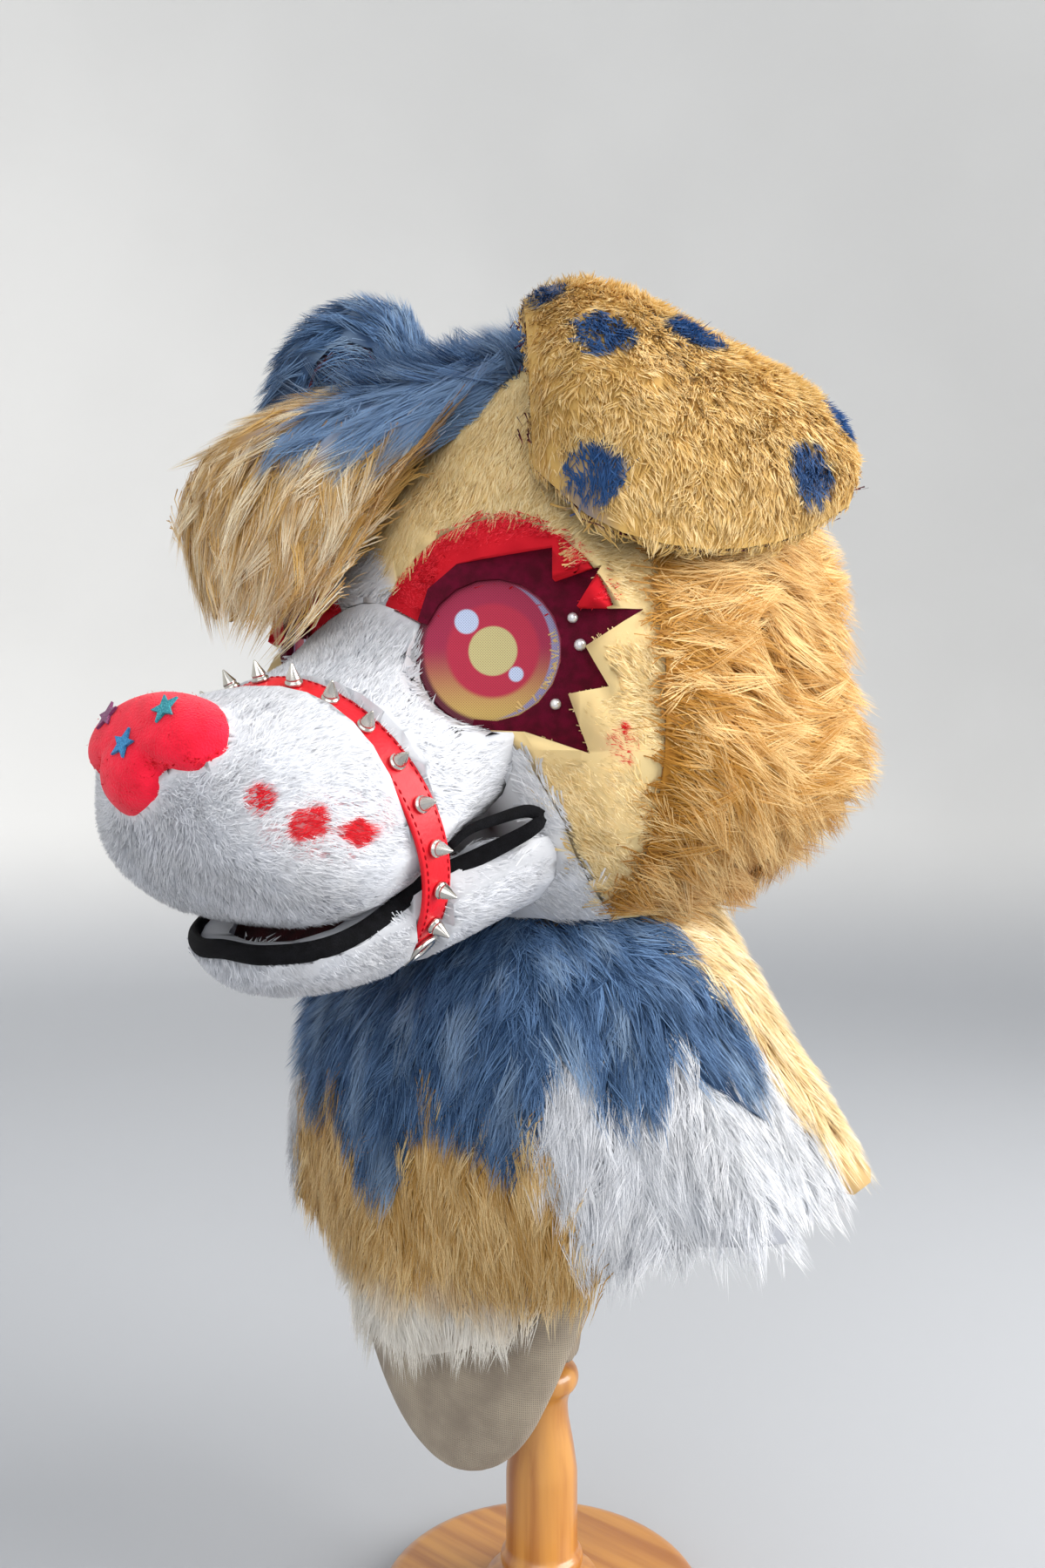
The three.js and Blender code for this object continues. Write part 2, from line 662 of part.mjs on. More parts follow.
// A round bar bent into a closed ring
function wireRing(points, radius, steps, sides) {
  const path = new THREE.CatmullRomCurve3(points, true, "centripetal");
  const frames = path.computeFrenetFrames(steps, true);
  const bar = Array.from({ length: steps }, (_, j) =>
    Array.from({ length: sides }, (_, i) => {
      const angle = (2 * Math.PI * i) / sides;
      return path
        .getPointAt(j / steps)
        .addScaledVector(frames.normals[j], radius * Math.cos(angle))
        .addScaledVector(frames.binormals[j], radius * Math.sin(angle));
    }),
  );
  const triangles = [];
  for (let j = 0; j < steps; j += 1)
    for (let i = 0; i < sides; i += 1) {
      const a = j * sides + i;
      const b = j * sides + ((i + 1) % sides);
      const c = ((j + 1) % steps) * sides + i;
      const d = ((j + 1) % steps) * sides + ((i + 1) % sides);
      triangles.push(a, b, c, b, d, c);
    }
  return closedGeometry(bar.flat(), triangles);
}

// The black lip: an upright oval cord on the jaw's rim, turned back over itself at each corner of the mouth
const LIP_HALF = [
  [0, -214, 398], [22, -211, 397], [44, -199, 400], [54, -183, 407], [61, -166, 419],
  [65, -152, 428], [75, -138, 436], [87, -127, 444], [95, -120, 450],
];
function lipShape(grow) {
  const right = LIP_HALF.slice(1).map(([x, y, z]) => V(-x, y, z));
  const points = [...right.reverse(), ...LIP_HALF.map(vector)];
  const path = new THREE.CatmullRomCurve3(points, false, "centripetal");
  const steps = 28;
  const rings = Array.from({ length: steps + 1 }, (_, j) => {
    const centre = path.getPointAt(j / steps);
    const tangent = path.getTangentAt(j / steps);
    const side = V(0, 0, 0).crossVectors(tangent, V(0, 0, 1)).normalize();
    const up = V(0, 0, 0).crossVectors(side, tangent).normalize();
    const taper = Math.min(1, 0.45 + (4 * Math.min(j, steps - j)) / steps);
    return Array.from({ length: 6 }, (_, i) => {
      const angle = (2 * Math.PI * (i + 0.5)) / 6;
      return centre
        .clone()
        .addScaledVector(side, (LIP_DEEP / 2 + grow) * Math.cos(angle) * taper)
        .addScaledVector(up, (LIP_HIGH / 2 + grow) * Math.sin(angle) * taper);
    });
  });
  return loft(rings);
}

// The nose: a dome over a three-lobed outline with a notch for each nostril, tilted back on the muzzle
const NOSE = { y: -244, z: 484, halfWidth: 44, halfHigh: 28, tilt: 24 };
const NOSE_LAYERS = [
  { size: 0.86, deep: -14 },
  { size: 1, deep: -2 },
  { size: 0.98, deep: 6 },
  { size: 0.86, deep: 13 },
  { size: 0.62, deep: 18.5 },
  { size: 0.3, deep: 20.6 },
  { size: 0.02, deep: 21 },
];
function noseOutline(angle) {
  const s = Math.sin(angle);
  const c = Math.cos(angle);
  const notch = 1 - 0.2 * Math.exp(-(((Math.abs(angle) - 2.25) / 0.2) ** 2));
  const wide = NOSE.halfWidth * (c > 0 ? 1 : 1 - 0.42 * c * c);
  return [wide * s * notch, NOSE.halfHigh * c * (c > 0 ? 0.86 : 1.12) * notch];
}
const placeOnNose = (geometry) => geometry.rotateX(rad(-NOSE.tilt)).translate(0, NOSE.y, NOSE.z);
function noseShape() {
  const sides = 24;
  const rings = NOSE_LAYERS.map(({ size, deep }) =>
    Array.from({ length: sides }, (_, i) => {
      const [x, up] = noseOutline(Math.PI * ((2 * i) / sides - 1));
      return V(x * size, -deep, up * size);
    }),
  );
  return placeOnNose(loft(rings));
}
// How far the dome stands out under a point of its outline's plane
function noseDeep(x, up) {
  const [edgeX, edgeUp] = noseOutline(Math.atan2(x, up));
  const size = Math.hypot(x, up) / Math.hypot(edgeX, edgeUp);
  const dome = NOSE_LAYERS.slice(2).reverse();
  const i = Math.max(dome.findIndex((layer) => layer.size > size), 1);
  const share = (size - dome[i - 1].size) / (dome[i].size - dome[i - 1].size);
  return lerp(dome[i - 1].deep, dome[i].deep, share);
}

// Felt stars sewn on the nose, each flat on the dome
const STAR_THICK = 1.2;
const STAR_LIFT = 0.35;
const STARS = [
  { x: -19, up: 7, turn: 12 },
  { x: 4, up: -7, turn: -8 },
  { x: 21, up: 9, turn: 30 },
];
function starShape({ x, up, turn }) {
  const shape = new THREE.Shape(
    Array.from({ length: 10 }, (_, i) => {
      const radius = i % 2 ? 3 : 7;
      const angle = rad(turn + 36 * i + 90);
      return new THREE.Vector2(radius * Math.cos(angle), radius * Math.sin(angle));
    }),
  );
  const point = (a, b) => V(a, -noseDeep(a, b), b);
  const across = point(x + 2, up).sub(point(x - 2, up)).normalize();
  const upwards = point(x, up + 2).sub(point(x, up - 2)).normalize();
  const out = across.clone().cross(upwards).normalize();
  const turned = new THREE.Matrix4().makeBasis(across, out.clone().cross(across), out);
  turned.setPosition(point(x, up).addScaledVector(out, STAR_LIFT));
  const felt = new THREE.ExtrudeGeometry(shape, { depth: STAR_THICK, bevelEnabled: false });
  return placeOnNose(felt.applyMatrix4(turned));
}

// Assembly

const model = new THREE.Group();
const COLOURS = {
  cream: 0xe8c98a,
  white: 0xf2f1f0,
  blue: 0x3f5f8f,
  gold: 0xc99f56,
  red: 0xe0202c,
  maroon: 0x4c0a1e,
  black: 0x0c0c0e,
  canvas: 0xb5a898,
  wood: 0xc98a45,
  steel: 0xc8c6c0,
  eye: 0xa52344,
  star: 0x3a8fc4,
  lining: 0x5a1c1c,
};
function add(name, shape, colour, metal = 0, rough = 0.9) {
  const geometry = shape.isBufferGeometry ? shape : fromSolid(shape);
  const look = { color: COLOURS[colour], roughness: rough, metalness: metal };
  const material = new THREE.MeshStandardMaterial(look);
  const mesh = new THREE.Mesh(geometry, material);
  mesh.name = name;
  model.add(mesh);
  return mesh;
}

// An outline seen from the front, carried from one depth to another
function prism(outline, fromY, toY) {
  const shape = new THREE.Shape(outline.map(([x, z]) => new THREE.Vector2(x, z)));
  const along = new THREE.ExtrudeGeometry(shape, { depth: toY - fromY, bevelEnabled: false });
  return solidOf(along.rotateX(Math.PI / 2).translate(0, toY, 0));
}

// Everything between two heights over the mouth line, across the whole jaw
function mouthPrism(from, to) {
  const outline = [
    ...MOUTH_LINE.map(([y, z]) => new THREE.Vector2(y, z + from)),
    ...MOUTH_LINE.map(([y, z]) => new THREE.Vector2(y, z + to)).reverse(),
  ];
  const across = new THREE.ExtrudeGeometry(new THREE.Shape(outline), { depth: 260, bevelEnabled: false });
  const turn = new THREE.Matrix4().makeBasis(V(0, 1, 0), V(0, 0, 1), V(1, 0, 0)).setPosition(-130, 0, 0);
  return solidOf(across.applyMatrix4(turn));
}

function buildStand() {
  add("stand_base", baseShape(), "wood", 0, 0.45);
  const post = solidOf(lathe(POST_PROFILE, 20));
  const ring = ({ z, halfWidth, front, back }, sides) =>
    Array.from({ length: sides }, (_, i) => {
      const angle = (2 * Math.PI * i) / sides;
      const deep = (front + back) / 2;
      const [x, y] = roundedRing(angle, { halfWidth, front: deep, back: deep }, 2.2);
      return V(x, y + (back - front) / 2, z);
    });
  const body = solidOf(loft(FORM_RINGS.map((row) => ring(row, 16))));
  const chest = solidOf(loft(CHEST_RINGS.map((row) => ring(row, 16))));
  const peg = POST_PROFILE[POST_PROFILE.length - 1];
  const room = { radius: peg.radius + SEAM, z: peg.z + SEAM };
  const socket = solidOf(lathe([{ radius: room.radius, z: 100 }, room], 20));
  add("stand_post", post, "wood", 0, 0.45);
  add("canvas_form", body.add(chest).subtract(socket), "canvas");
}

function buildHead() {
  const outer = headSolid(0);
  const clear = headSolid(SEAM);
  const hollow = headInside();
  const sides = [1, -1];
  let shell = outer.subtract(hollow).subtract(muzzleInner());
  const lidRoom = sides.map((side) => solidOf(eyePlate(lidOutline(SEAM), side, -SEAM, 40)));
  const eyeRoom = sides.map((side) => solidOf(eyePlate(circle(EYE.radius + SEAM, 24), side, -40, 40)));
  [...lidRoom, ...eyeRoom].forEach((room) => (shell = shell.subtract(room)));
  const lipRoom = solidOf(lipShape(SEAM));
  shell = shell.subtract(lipRoom);

  const mirrored = [...WHITE_HALF, ...WHITE_HALF.slice(1, -1).reverse().map(([x, z]) => [-x, z])];
  const whiteCut = prism(mirrored, -300, -40);
  const grown = mirrored.map(([x, z]) => [x + Math.sign(x) * SEAM, z + (z > 490 ? SEAM : 0)]);
  const whiteRoom = prism(grown, -300, -40 + SEAM);
  add("face_white", largest(shell.intersect(whiteCut)), "white");
  const rest = shell.subtract(whiteRoom);
  const backRoom = block(400, 300, 700, 0, BACK_SEAM + 150, 500);
  const frontRoom = block(400, 300, 700, 0, BACK_SEAM - SEAM - 150, 500);
  add("head_back", largest(rest.intersect(backRoom)), "cream");
  const front = rest.intersect(frontRoom);
  sides.forEach((side) => {
    const name = side > 0 ? "left" : "right";
    const half = front.intersect(block(300, 400, 700, side * (150 + SEAM / 2), 0, 500));
    const brow = solidOf(eyePlate(browOutline(), side, -60, 60));
    const browRoom = solidOf(eyePlate(browOutline(SEAM), side, -60, 60));
    add("brow_" + name, largest(half.intersect(brow)), "red");
    add("head_side_" + name, largest(half.subtract(browRoom)), "cream");
    add("eye_" + name, eyePlate(circle(EYE.radius, 24), side, -EYE.thick, -SEAM), "eye", 0, 0.7);
    add("lid_" + name, eyePlate(lidOutline(), side, 0, LID_THICK), "maroon", 0, 0.8);
  });

  const strapRoom = solidOf(strapBand(-STRAP.thick / 2 - SEAM, 40, STRAP.width / 2 + SEAM, STRAP_SIDES));
  const rooms = [clear, strapRoom, lipRoom, ...lidRoom, ...eyeRoom];
  const nose = solidOf(noseShape());
  const noseRoom = solidOf(noseShape().translate(0, SEAM, 0)).add(nose);
  let muzzle = muzzleOuter(0).subtract(muzzleInner()).subtract(noseRoom);
  rooms.forEach((room) => (muzzle = muzzle.subtract(room)));
  add("muzzle", largest(muzzle), "white");
  add("nose", nose, "red", 0, 0.8);
  STARS.forEach((star, i) => add("nose_star_" + (i + 1), starShape(star), "star", 0, 0.6));

  const muzzleRoom = muzzleOuter(SEAM);
  let jaw = jawOuter(0).subtract(jawInner(0)).subtract(mouthPrism(0, 200)).subtract(muzzleRoom);
  rooms.forEach((room) => (jaw = jaw.subtract(room)));
  add("jaw", largest(jaw), "white");
  let floor = jawInner(SEAM).intersect(mouthPrism(-10, -8));
  [clear, lipRoom, muzzleRoom].forEach((room) => (floor = floor.subtract(room)));
  add("mouth_floor", largest(floor), "lining");
  add("lip", largest(solidOf(lipShape(0)).subtract(strapRoom)), "black", 0, 0.6);
}

function buildStrap() {
  const band = strapBand(-STRAP.thick / 2, STRAP.thick / 2, STRAP.width / 2, STRAP_SIDES);
  add("muzzle_strap", band, "red", 0, 0.4);
  const around = Math.PI * (STRAP.halfX + STRAP.halfZ);
  const step = (2 * Math.PI * SPIKE.pitch) / around;
  for (let i = 0; i < SPIKE.count; i += 1) {
    const angle = (i - (SPIKE.count - 1) / 2) * step;
    const foot = strapPoint(angle, STRAP.thick / 2 + SEAM, 0);
    const far = strapPoint(angle, STRAP.thick / 2 + SPIKE.height, 0);
    const turn = new THREE.Quaternion().setFromUnitVectors(V(0, 0, 1), far.sub(foot).normalize());
    const spike = add("spike_" + String(i + 1).padStart(2, "0"), spikeShape(), "steel", 1, 0.25);
    spike.position.copy(foot);
    spike.quaternion.copy(turn);
  }
  const frame = [
    [-1, -1], [0, -1], [1, -1], [1, 0], [1, 1], [0, 1], [-1, 1], [-1, 0],
  ].map(([across, along]) =>
    strapPoint(
      rad(BUCKLE.angle + (BUCKLE.halfAngle * across) / Math.hypot(across, along) ** 0.5),
      STRAP.thick / 2 + BUCKLE.wire + SEAM,
      (BUCKLE.halfWidth * along) / Math.hypot(across, along) ** 0.5,
    ),
  );
  add("strap_buckle", wireRing(frame, BUCKLE.wire, 16, 5), "steel", 1, 0.25);
}

// One layer of an ear, grown all round by a gap
function earSolid(side, from, to, grow) {
  const sheet = earSheet(side);
  const thick = (u, v) => earThick(u, v) + 2 * grow;
  return solidOf(pad(sheet, thick, -side * from, -side * to, stations(0, 1, 10), stations(0, 1, 7)));
}

function buildEars() {
  const clear = headSolid(SEAM);
  [1, -1].forEach((side) => {
    const name = side > 0 ? "left" : "right";
    const outside = earSolid(side, 1, EAR_SPLIT, 0).subtract(clear);
    const lining = earSolid(side, EAR_SPLIT - 0.04, -1, 0).subtract(clear);
    add("ear_" + name, largest(outside), side > 0 ? "cream" : "blue");
    add("ear_lining_" + name, largest(lining), "maroon");
  });
}

function buildFringe() {
  const path = fringeSheet();
  const sheet = (u, share) => path(u, share * fringeEnd(u));
  const across = stations(0, 1, 3 * FRINGE_LOCKS);
  const part = (shares) => solidOf(pad(sheet, fringeThick, 1, -1, across, shares));
  const farEar = earSolid(-1, 1, -1, 2 * SEAM);
  const clear = headSolid(SEAM).add(farEar).add(farEar.translate([1, 0, 0])).add(muzzleOuter(SEAM));
  add("fringe_blue", largest(part(stations(0, FRINGE_BLUE_SHARE, 3)).subtract(clear)), "blue");
  add("fringe_gold", largest(part(stations(FRINGE_BLUE_SHARE + 0.002, 1, 5)).subtract(clear)), "gold");
}

function buildCheeks() {
  const rise = column(CHEEK_RISES, "z", "rise");
  const clear = headSolid(SEAM);
  [1, -1].forEach((side) => {
    const at = (u, v, out) => {
      const z = lerp(CHEEK_RISES[0].z, CHEEK_RISES[CHEEK_RISES.length - 1].z, v);
      const angle = rad(lerp(66, 136, u));
      const sweep = u < 0.7 ? u / 0.7 : (1 - u) / 0.3;
      const lifted = out ? 2 + rise(z) * Math.sin((Math.PI / 2) * sweep) : -8;
      const p = headPoint(angle, z, lifted);
      return V(p.x * side, p.y, p.z);
    };
    const outer = grid(10, 9, (u, v) => at(u, v, true));
    const tuft = solidOf(wall(outer, grid(10, 9, (u, v) => at(u, v, false))));
    add("cheek_" + (side > 0 ? "left" : "right"), largest(tuft.subtract(clear)), "cream");
  });
}

function buildBib() {
  const yoke = (line) => stations(0, yokeEnd(line), 3);
  const below = (line) => stations(yokeEnd(line) + 0.0036, 1, 3);
  const behind = () => [...yoke(BACK_LINE), ...below(BACK_LINE)];
  const jawRoom = jawOuter(SEAM).subtract(mouthPrism(0, 200));
  const blue = solidOf(bibPanel(-BACK_LINE, BACK_LINE, yoke)).subtract(jawRoom);
  add("bib_yoke", largest(blue), "blue");
  add("bib_front", bibPanel(-FRONT_LINE, FRONT_LINE, below), "gold");
  add("bib_side_left", bibPanel(FRONT_LINE, BACK_LINE, below), "white");
  add("bib_side_right", bibPanel(-BACK_LINE, -FRONT_LINE, below), "white");
  add("bib_back_left", bibPanel(BACK_LINE, BIB_LINES / 2, behind, 2), "cream");
  add("bib_back_right", bibPanel(-BIB_LINES / 2, -BACK_LINE, behind, 2), "cream");
}

buildStand();
buildHead();
buildStrap();
buildEars();
buildFringe();
buildCheeks();
buildBib();

export default model;
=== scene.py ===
# %% [markdown]
# # A dog costume head with a neck bib, on its canvas display form
# The real thing is carved foam covered with faux fur. Short plush lies on the face and muzzle, and long
# pile hangs from the cheeks, the fringe and the bib. The frame gives every piece its place and size, and
# this file gives each one its surface. Points are worked out in millimetres and stored in metres.

# %% Load the frame
import json
import math

import bpy
import numpy as np
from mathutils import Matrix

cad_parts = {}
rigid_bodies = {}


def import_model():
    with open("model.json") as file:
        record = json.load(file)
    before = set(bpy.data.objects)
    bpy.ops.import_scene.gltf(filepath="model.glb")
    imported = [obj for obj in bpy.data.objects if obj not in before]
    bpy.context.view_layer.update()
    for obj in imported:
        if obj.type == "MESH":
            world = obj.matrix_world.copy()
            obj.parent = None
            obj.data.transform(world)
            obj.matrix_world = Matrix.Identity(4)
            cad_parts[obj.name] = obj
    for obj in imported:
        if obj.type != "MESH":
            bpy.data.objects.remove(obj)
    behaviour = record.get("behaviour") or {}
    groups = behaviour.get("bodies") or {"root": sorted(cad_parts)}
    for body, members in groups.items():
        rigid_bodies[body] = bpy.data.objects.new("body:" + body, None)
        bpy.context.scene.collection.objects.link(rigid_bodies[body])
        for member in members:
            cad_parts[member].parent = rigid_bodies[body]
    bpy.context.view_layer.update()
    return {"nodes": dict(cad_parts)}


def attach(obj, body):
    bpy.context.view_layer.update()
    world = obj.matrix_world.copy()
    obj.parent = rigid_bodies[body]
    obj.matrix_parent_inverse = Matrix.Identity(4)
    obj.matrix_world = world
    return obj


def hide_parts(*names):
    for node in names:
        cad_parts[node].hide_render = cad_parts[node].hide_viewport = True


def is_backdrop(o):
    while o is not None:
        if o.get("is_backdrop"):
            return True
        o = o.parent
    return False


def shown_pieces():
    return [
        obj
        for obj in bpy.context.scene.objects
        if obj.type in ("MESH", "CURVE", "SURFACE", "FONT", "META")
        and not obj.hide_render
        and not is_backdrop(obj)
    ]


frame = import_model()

MM = 0.001
random = np.random.default_rng(41)
print("pieces in the frame:", len(frame["nodes"]))

# %% [markdown]
# ## Arrays into meshes
# A surface could be drawn by hand or grown by modifiers. Here each one is a formula over whole arrays of
# points, because a formula keeps its real sizes and can be read again later.

# %% Small vector tools


def unit(v):
    """Each vector divided by its own length."""
    return v / np.maximum(np.linalg.norm(v, axis=-1, keepdims=True), 1e-9)


def dot(a, b):
    """The sum of the products of matching coordinates."""
    return (a * b).sum(-1)


def soft_step(x, low, high):
    """0 below low, 1 above high, and 3t^2 - 2t^3 between them, where t is the share of the way."""
    t = np.clip((x - low) / (high - low), 0, 1)
    return t * t * (3 - 2 * t)


def cubic(t):
    """Weights of a span's start, leaving slope, end and arriving slope, at the share t of the way."""
    return 2 * t**3 - 3 * t**2 + 1, t**3 - 2 * t**2 + t, 3 * t**2 - 2 * t**3, t**3 - t**2


def column(rows, at, name, where):
    """A smooth curve through one column of a table: on each span a cubic with the slopes of its two rows."""
    x = np.array([row[at] for row in rows], float)
    y = np.array([row[name] for row in rows], float)
    slope = np.gradient(y, x)
    where = np.clip(where, min(x[0], x[-1]), max(x[0], x[-1]))
    i = np.clip(np.searchsorted(x, where) - 1, 0, len(x) - 2)
    span = x[i + 1] - x[i]
    start, leave, end, arrive = cubic((where - x[i]) / span)
    return y[i] * start + slope[i] * span * leave + y[i + 1] * end + slope[i + 1] * span * arrive


def smooth_line(points, count, closed=False):
    """A curve through points: each span is a cubic whose end slopes are half the chord of its neighbours."""
    p = np.asarray(points, float)
    n = len(p)
    before, after = (np.roll(p, 1, 0), np.roll(p, -1, 0)) if closed else (
        np.vstack([2 * p[0] - p[1], p[:-1]]),
        np.vstack([p[1:], 2 * p[-1] - p[-2]]),
    )
    slope = (after - before) / 2
    spans = n if closed else n - 1
    fine = np.linspace(0, spans, 40 * spans + 1)
    i = np.minimum(fine.astype(int), spans - 1)
    t = (fine - i)[:, None]
    j = (i + 1) % n
    start, leave, end, arrive = cubic(t)
    line = start * p[i] + leave * slope[i]
    line += end * p[j] + arrive * slope[j]
    along = np.concatenate([[0], np.cumsum(np.linalg.norm(np.diff(line, axis=0), axis=1))])
    at = np.linspace(0, along[-1], count + 1 if closed else count)[: count]
    return np.stack([np.interp(at, along, line[:, k]) for k in range(3)], axis=1)


# %% Meshes from points and faces


def mesh_object(name, points, faces, material):
    """An object at the origin from points in millimetres and faces as integer arrays of any width."""
    mesh = bpy.data.meshes.new(name)
    corners = np.concatenate([f.ravel() for f in faces])
    sizes = np.concatenate([np.full(len(f), f.shape[1]) for f in faces])
    starts = np.concatenate([[0], np.cumsum(sizes)[:-1]])
    mesh.vertices.add(len(points))
    mesh.vertices.foreach_set("co", (points * MM).astype(np.float32).ravel())
    mesh.loops.add(len(corners))
    mesh.loops.foreach_set("vertex_index", corners.astype(np.int32))
    mesh.polygons.add(len(sizes))
    mesh.polygons.foreach_set("loop_start", starts.astype(np.int32))
    mesh.polygons.foreach_set("use_smooth", np.full(len(sizes), True))
    mesh.update(calc_edges=True)
    mesh.materials.append(material)
    made = bpy.data.objects.new(name, mesh)
    bpy.context.scene.collection.objects.link(made)
    return made


def add_piece(name, points, faces, material, stands_for=()):
    """A mesh that rides with the frame, and that takes the place of the frame pieces it stands for."""
    piece = mesh_object(name, points, faces, material)
    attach(piece, "root")
    if stands_for:
        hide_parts(*stands_for)
    return piece


def set_normals(piece, normals):
    """Give each point its own shading direction, so that hairs take light as the surface under them does."""
    attribute = piece.data.attributes.new("custom_normal", "FLOAT_VECTOR", "POINT")
    attribute.data.foreach_set("vector", normals.astype(np.float32).ravel())


def set_values(piece, name, values):
    """Store one number, or one vector, for each point of a piece under a name that materials can read."""
    vector = values.ndim == 2
    kind = "FLOAT_VECTOR" if vector else "FLOAT"
    attribute = piece.data.attributes.new(name, kind, "POINT")
    attribute.data.foreach_set("vector" if vector else "value", values.astype(np.float32).ravel())


def tube_faces(rings, sides, closed=False):
    """Quads between each ring of points and the next, and round to the first ring where closed."""
    j = np.arange(rings if closed else rings - 1)[:, None]
    i = np.arange(sides)[None]
    a, b = j * sides + i, j * sides + (i + 1) % sides
    c, d = (j + 1) % rings * sides + (i + 1) % sides, (j + 1) % rings * sides + i
    return np.stack([a, b, c, d], -1).reshape(-1, 4)


def facing_out(points, faces):
    """Turn every face over where the signed volume, a sum of corner triple products, is negative."""
    volume = sum(
        dot(points[f[:, 0]], np.cross(points[f[:, k]], points[f[:, k + 1]])).sum()
        for f in faces
        for k in range(1, f.shape[1] - 1)
    )
    return faces if volume > 0 else [f[:, ::-1] for f in faces]


def closed_tube(rings, closed=False):
    """Points and faces of rings (count, sides, 3), with a pole in the middle of each end unless closed."""
    count, sides = rings.shape[:2]
    points = rings.reshape(-1, 3)
    faces = [tube_faces(count, sides, closed)]
    if not closed:
        poles = np.array([rings[0].mean(0), rings[-1].mean(0)])
        i = np.arange(sides)
        low = np.stack([(i + 1) % sides, i, np.full(sides, len(points))], -1)
        last = (count - 1) * sides
        high = np.stack([last + i, last + (i + 1) % sides, np.full(sides, len(points) + 1)], -1)
        points = np.vstack([points, poles])
        faces += [low, high]
    return points, facing_out(points, faces)


def spun(profile, sides):
    """Rings of a turned shape: each (radius, height) of the profile goes round the upright axis."""
    turn = np.linspace(0, 2 * np.pi, sides, endpoint=False)[None]
    radius, z = (np.array(profile, float)[:, k][:, None] for k in (0, 1))
    return np.stack([radius * np.cos(turn), radius * np.sin(turn), z + 0 * turn], -1)


def eased(profile, cut, steps=5):
    """A profile whose inner corners are parabolas that start and end a cut away from each corner."""
    p = np.array(profile, float)
    before, after = p[:-2] - p[1:-1], p[2:] - p[1:-1]
    reach = [np.minimum(cut, 0.45 * np.linalg.norm(d, axis=1))[:, None] for d in (before, after)]
    start, end = p[1:-1] + unit(before) * reach[0], p[1:-1] + unit(after) * reach[1]
    t = np.linspace(0, 1, steps)[None, :, None]
    bend = (1 - t) ** 2 * start[:, None] + 2 * t * (1 - t) * p[1:-1][:, None] + t**2 * end[:, None]
    return np.vstack([p[:1], bend.reshape(-1, 2), p[-1:]])


# %% [markdown]
# ## Materials
# Every finish is worked out by nodes. Effects that several finishes share are node groups: they give out
# colours, values and heights, and the shader itself stays in each material.

# %% Node tools


def linear(code):
    """A hex colour as linear light: each channel c becomes ((c + 0.055) / 1.055) to the power 2.4."""
    channels = np.array([(code >> 16) & 255, (code >> 8) & 255, code & 255]) / 255
    light = np.where(channels <= 0.04045, channels / 12.92, ((channels + 0.055) / 1.055) ** 2.4)
    return (*light.tolist(), 1.0)


def put(tree, kind, inputs=None, **settings):
    """Add a node, set its settings, and give each input a value or a link."""
    made = tree.nodes.new(kind)
    for key, value in settings.items():
        setattr(made, key, value)
    for key, value in (inputs or {}).items():
        if isinstance(value, bpy.types.NodeSocket):
            tree.links.new(value, made.inputs[key])
        else:
            made.inputs[key].default_value = value
    return made


def math_node(tree, operation, a, b=0.0):
    """One sum, product or other operation on two values."""
    return put(tree, "ShaderNodeMath", {0: a, 1: b}, operation=operation).outputs[0]


def scaled(tree, value, times, plus):
    """The value times one number, plus another."""
    return math_node(tree, "ADD", math_node(tree, "MULTIPLY", value, times), plus)


def mixed(tree, share, a, b, blend="MIX"):
    """Colour a where share is 0 and colour b where it is 1."""
    sockets = {0: share, 6: a, 7: b}
    return put(tree, "ShaderNodeMix", sockets, data_type="RGBA", blend_type=blend).outputs[2]


def ramped(tree, value, low, high):
    """The value's place between low and high, as 0 to 1 with soft ends."""
    node = put(tree, "ShaderNodeMapRange", {0: value, 1: low, 2: high}, interpolation_type="SMOOTHSTEP")
    return node.outputs[0]


def new_group(name, inputs, outputs):
    """An empty node group with named sockets, with its input and output nodes."""
    tree = bpy.data.node_groups.new(name, "ShaderNodeTree")
    kinds = {"c": "NodeSocketColor", "f": "NodeSocketFloat", "v": "NodeSocketVector"}
    for socket, kind in inputs:
        tree.interface.new_socket(socket, in_out="INPUT", socket_type=kinds[kind])
    for socket, kind in outputs:
        tree.interface.new_socket(socket, in_out="OUTPUT", socket_type=kinds[kind])
    return tree, tree.nodes.new("NodeGroupInput").outputs, tree.nodes.new("NodeGroupOutput").inputs


def use_group(tree, group, inputs):
    """Place a node group and give its inputs."""
    return put(tree, "ShaderNodeGroup", inputs, node_tree=group).outputs


def new_material(name, **shader):
    """A material with a Principled shader whose plain values are set on its own sockets."""
    material = bpy.data.materials.new(name)
    material.use_nodes = True
    tree = material.node_tree
    principled = tree.nodes["Principled BSDF"]
    for key, value in shader.items():
        principled.inputs[key.replace("_", " ")].default_value = value
    place = put(tree, "ShaderNodeTexCoord").outputs["Object"]
    return material, tree, principled, place


def cover(tree, principled, colour, rough):
    """Give the shader its colour and its roughness."""
    tree.links.new(colour, principled.inputs["Base Color"])
    tree.links.new(rough, principled.inputs["Roughness"])


def bump(tree, principled, height, strength, distance):
    """Let a height tilt the shading normal."""
    node = put(tree, "ShaderNodeBump", {"Strength": strength, "Distance": distance, "Height": height})
    tree.links.new(node.outputs[0], principled.inputs["Normal"])


# %% Shared effects: mottling, weave, fur tint


def make_mottle():
    """Soft uneven patches: fractal noise of the given scale, stretched to 0..1."""
    tree, given, out = new_group(
        "Mottle", [("Position", "v"), ("Scale", "f"), ("Detail", "f")], [("Value", "f")]
    )
    noise = put(tree, "ShaderNodeTexNoise", {"Vector": given[0], "Scale": given[1], "Detail": given[2]})
    tree.links.new(ramped(tree, noise.outputs[0], 0.3, 0.7), out[0])
    return tree


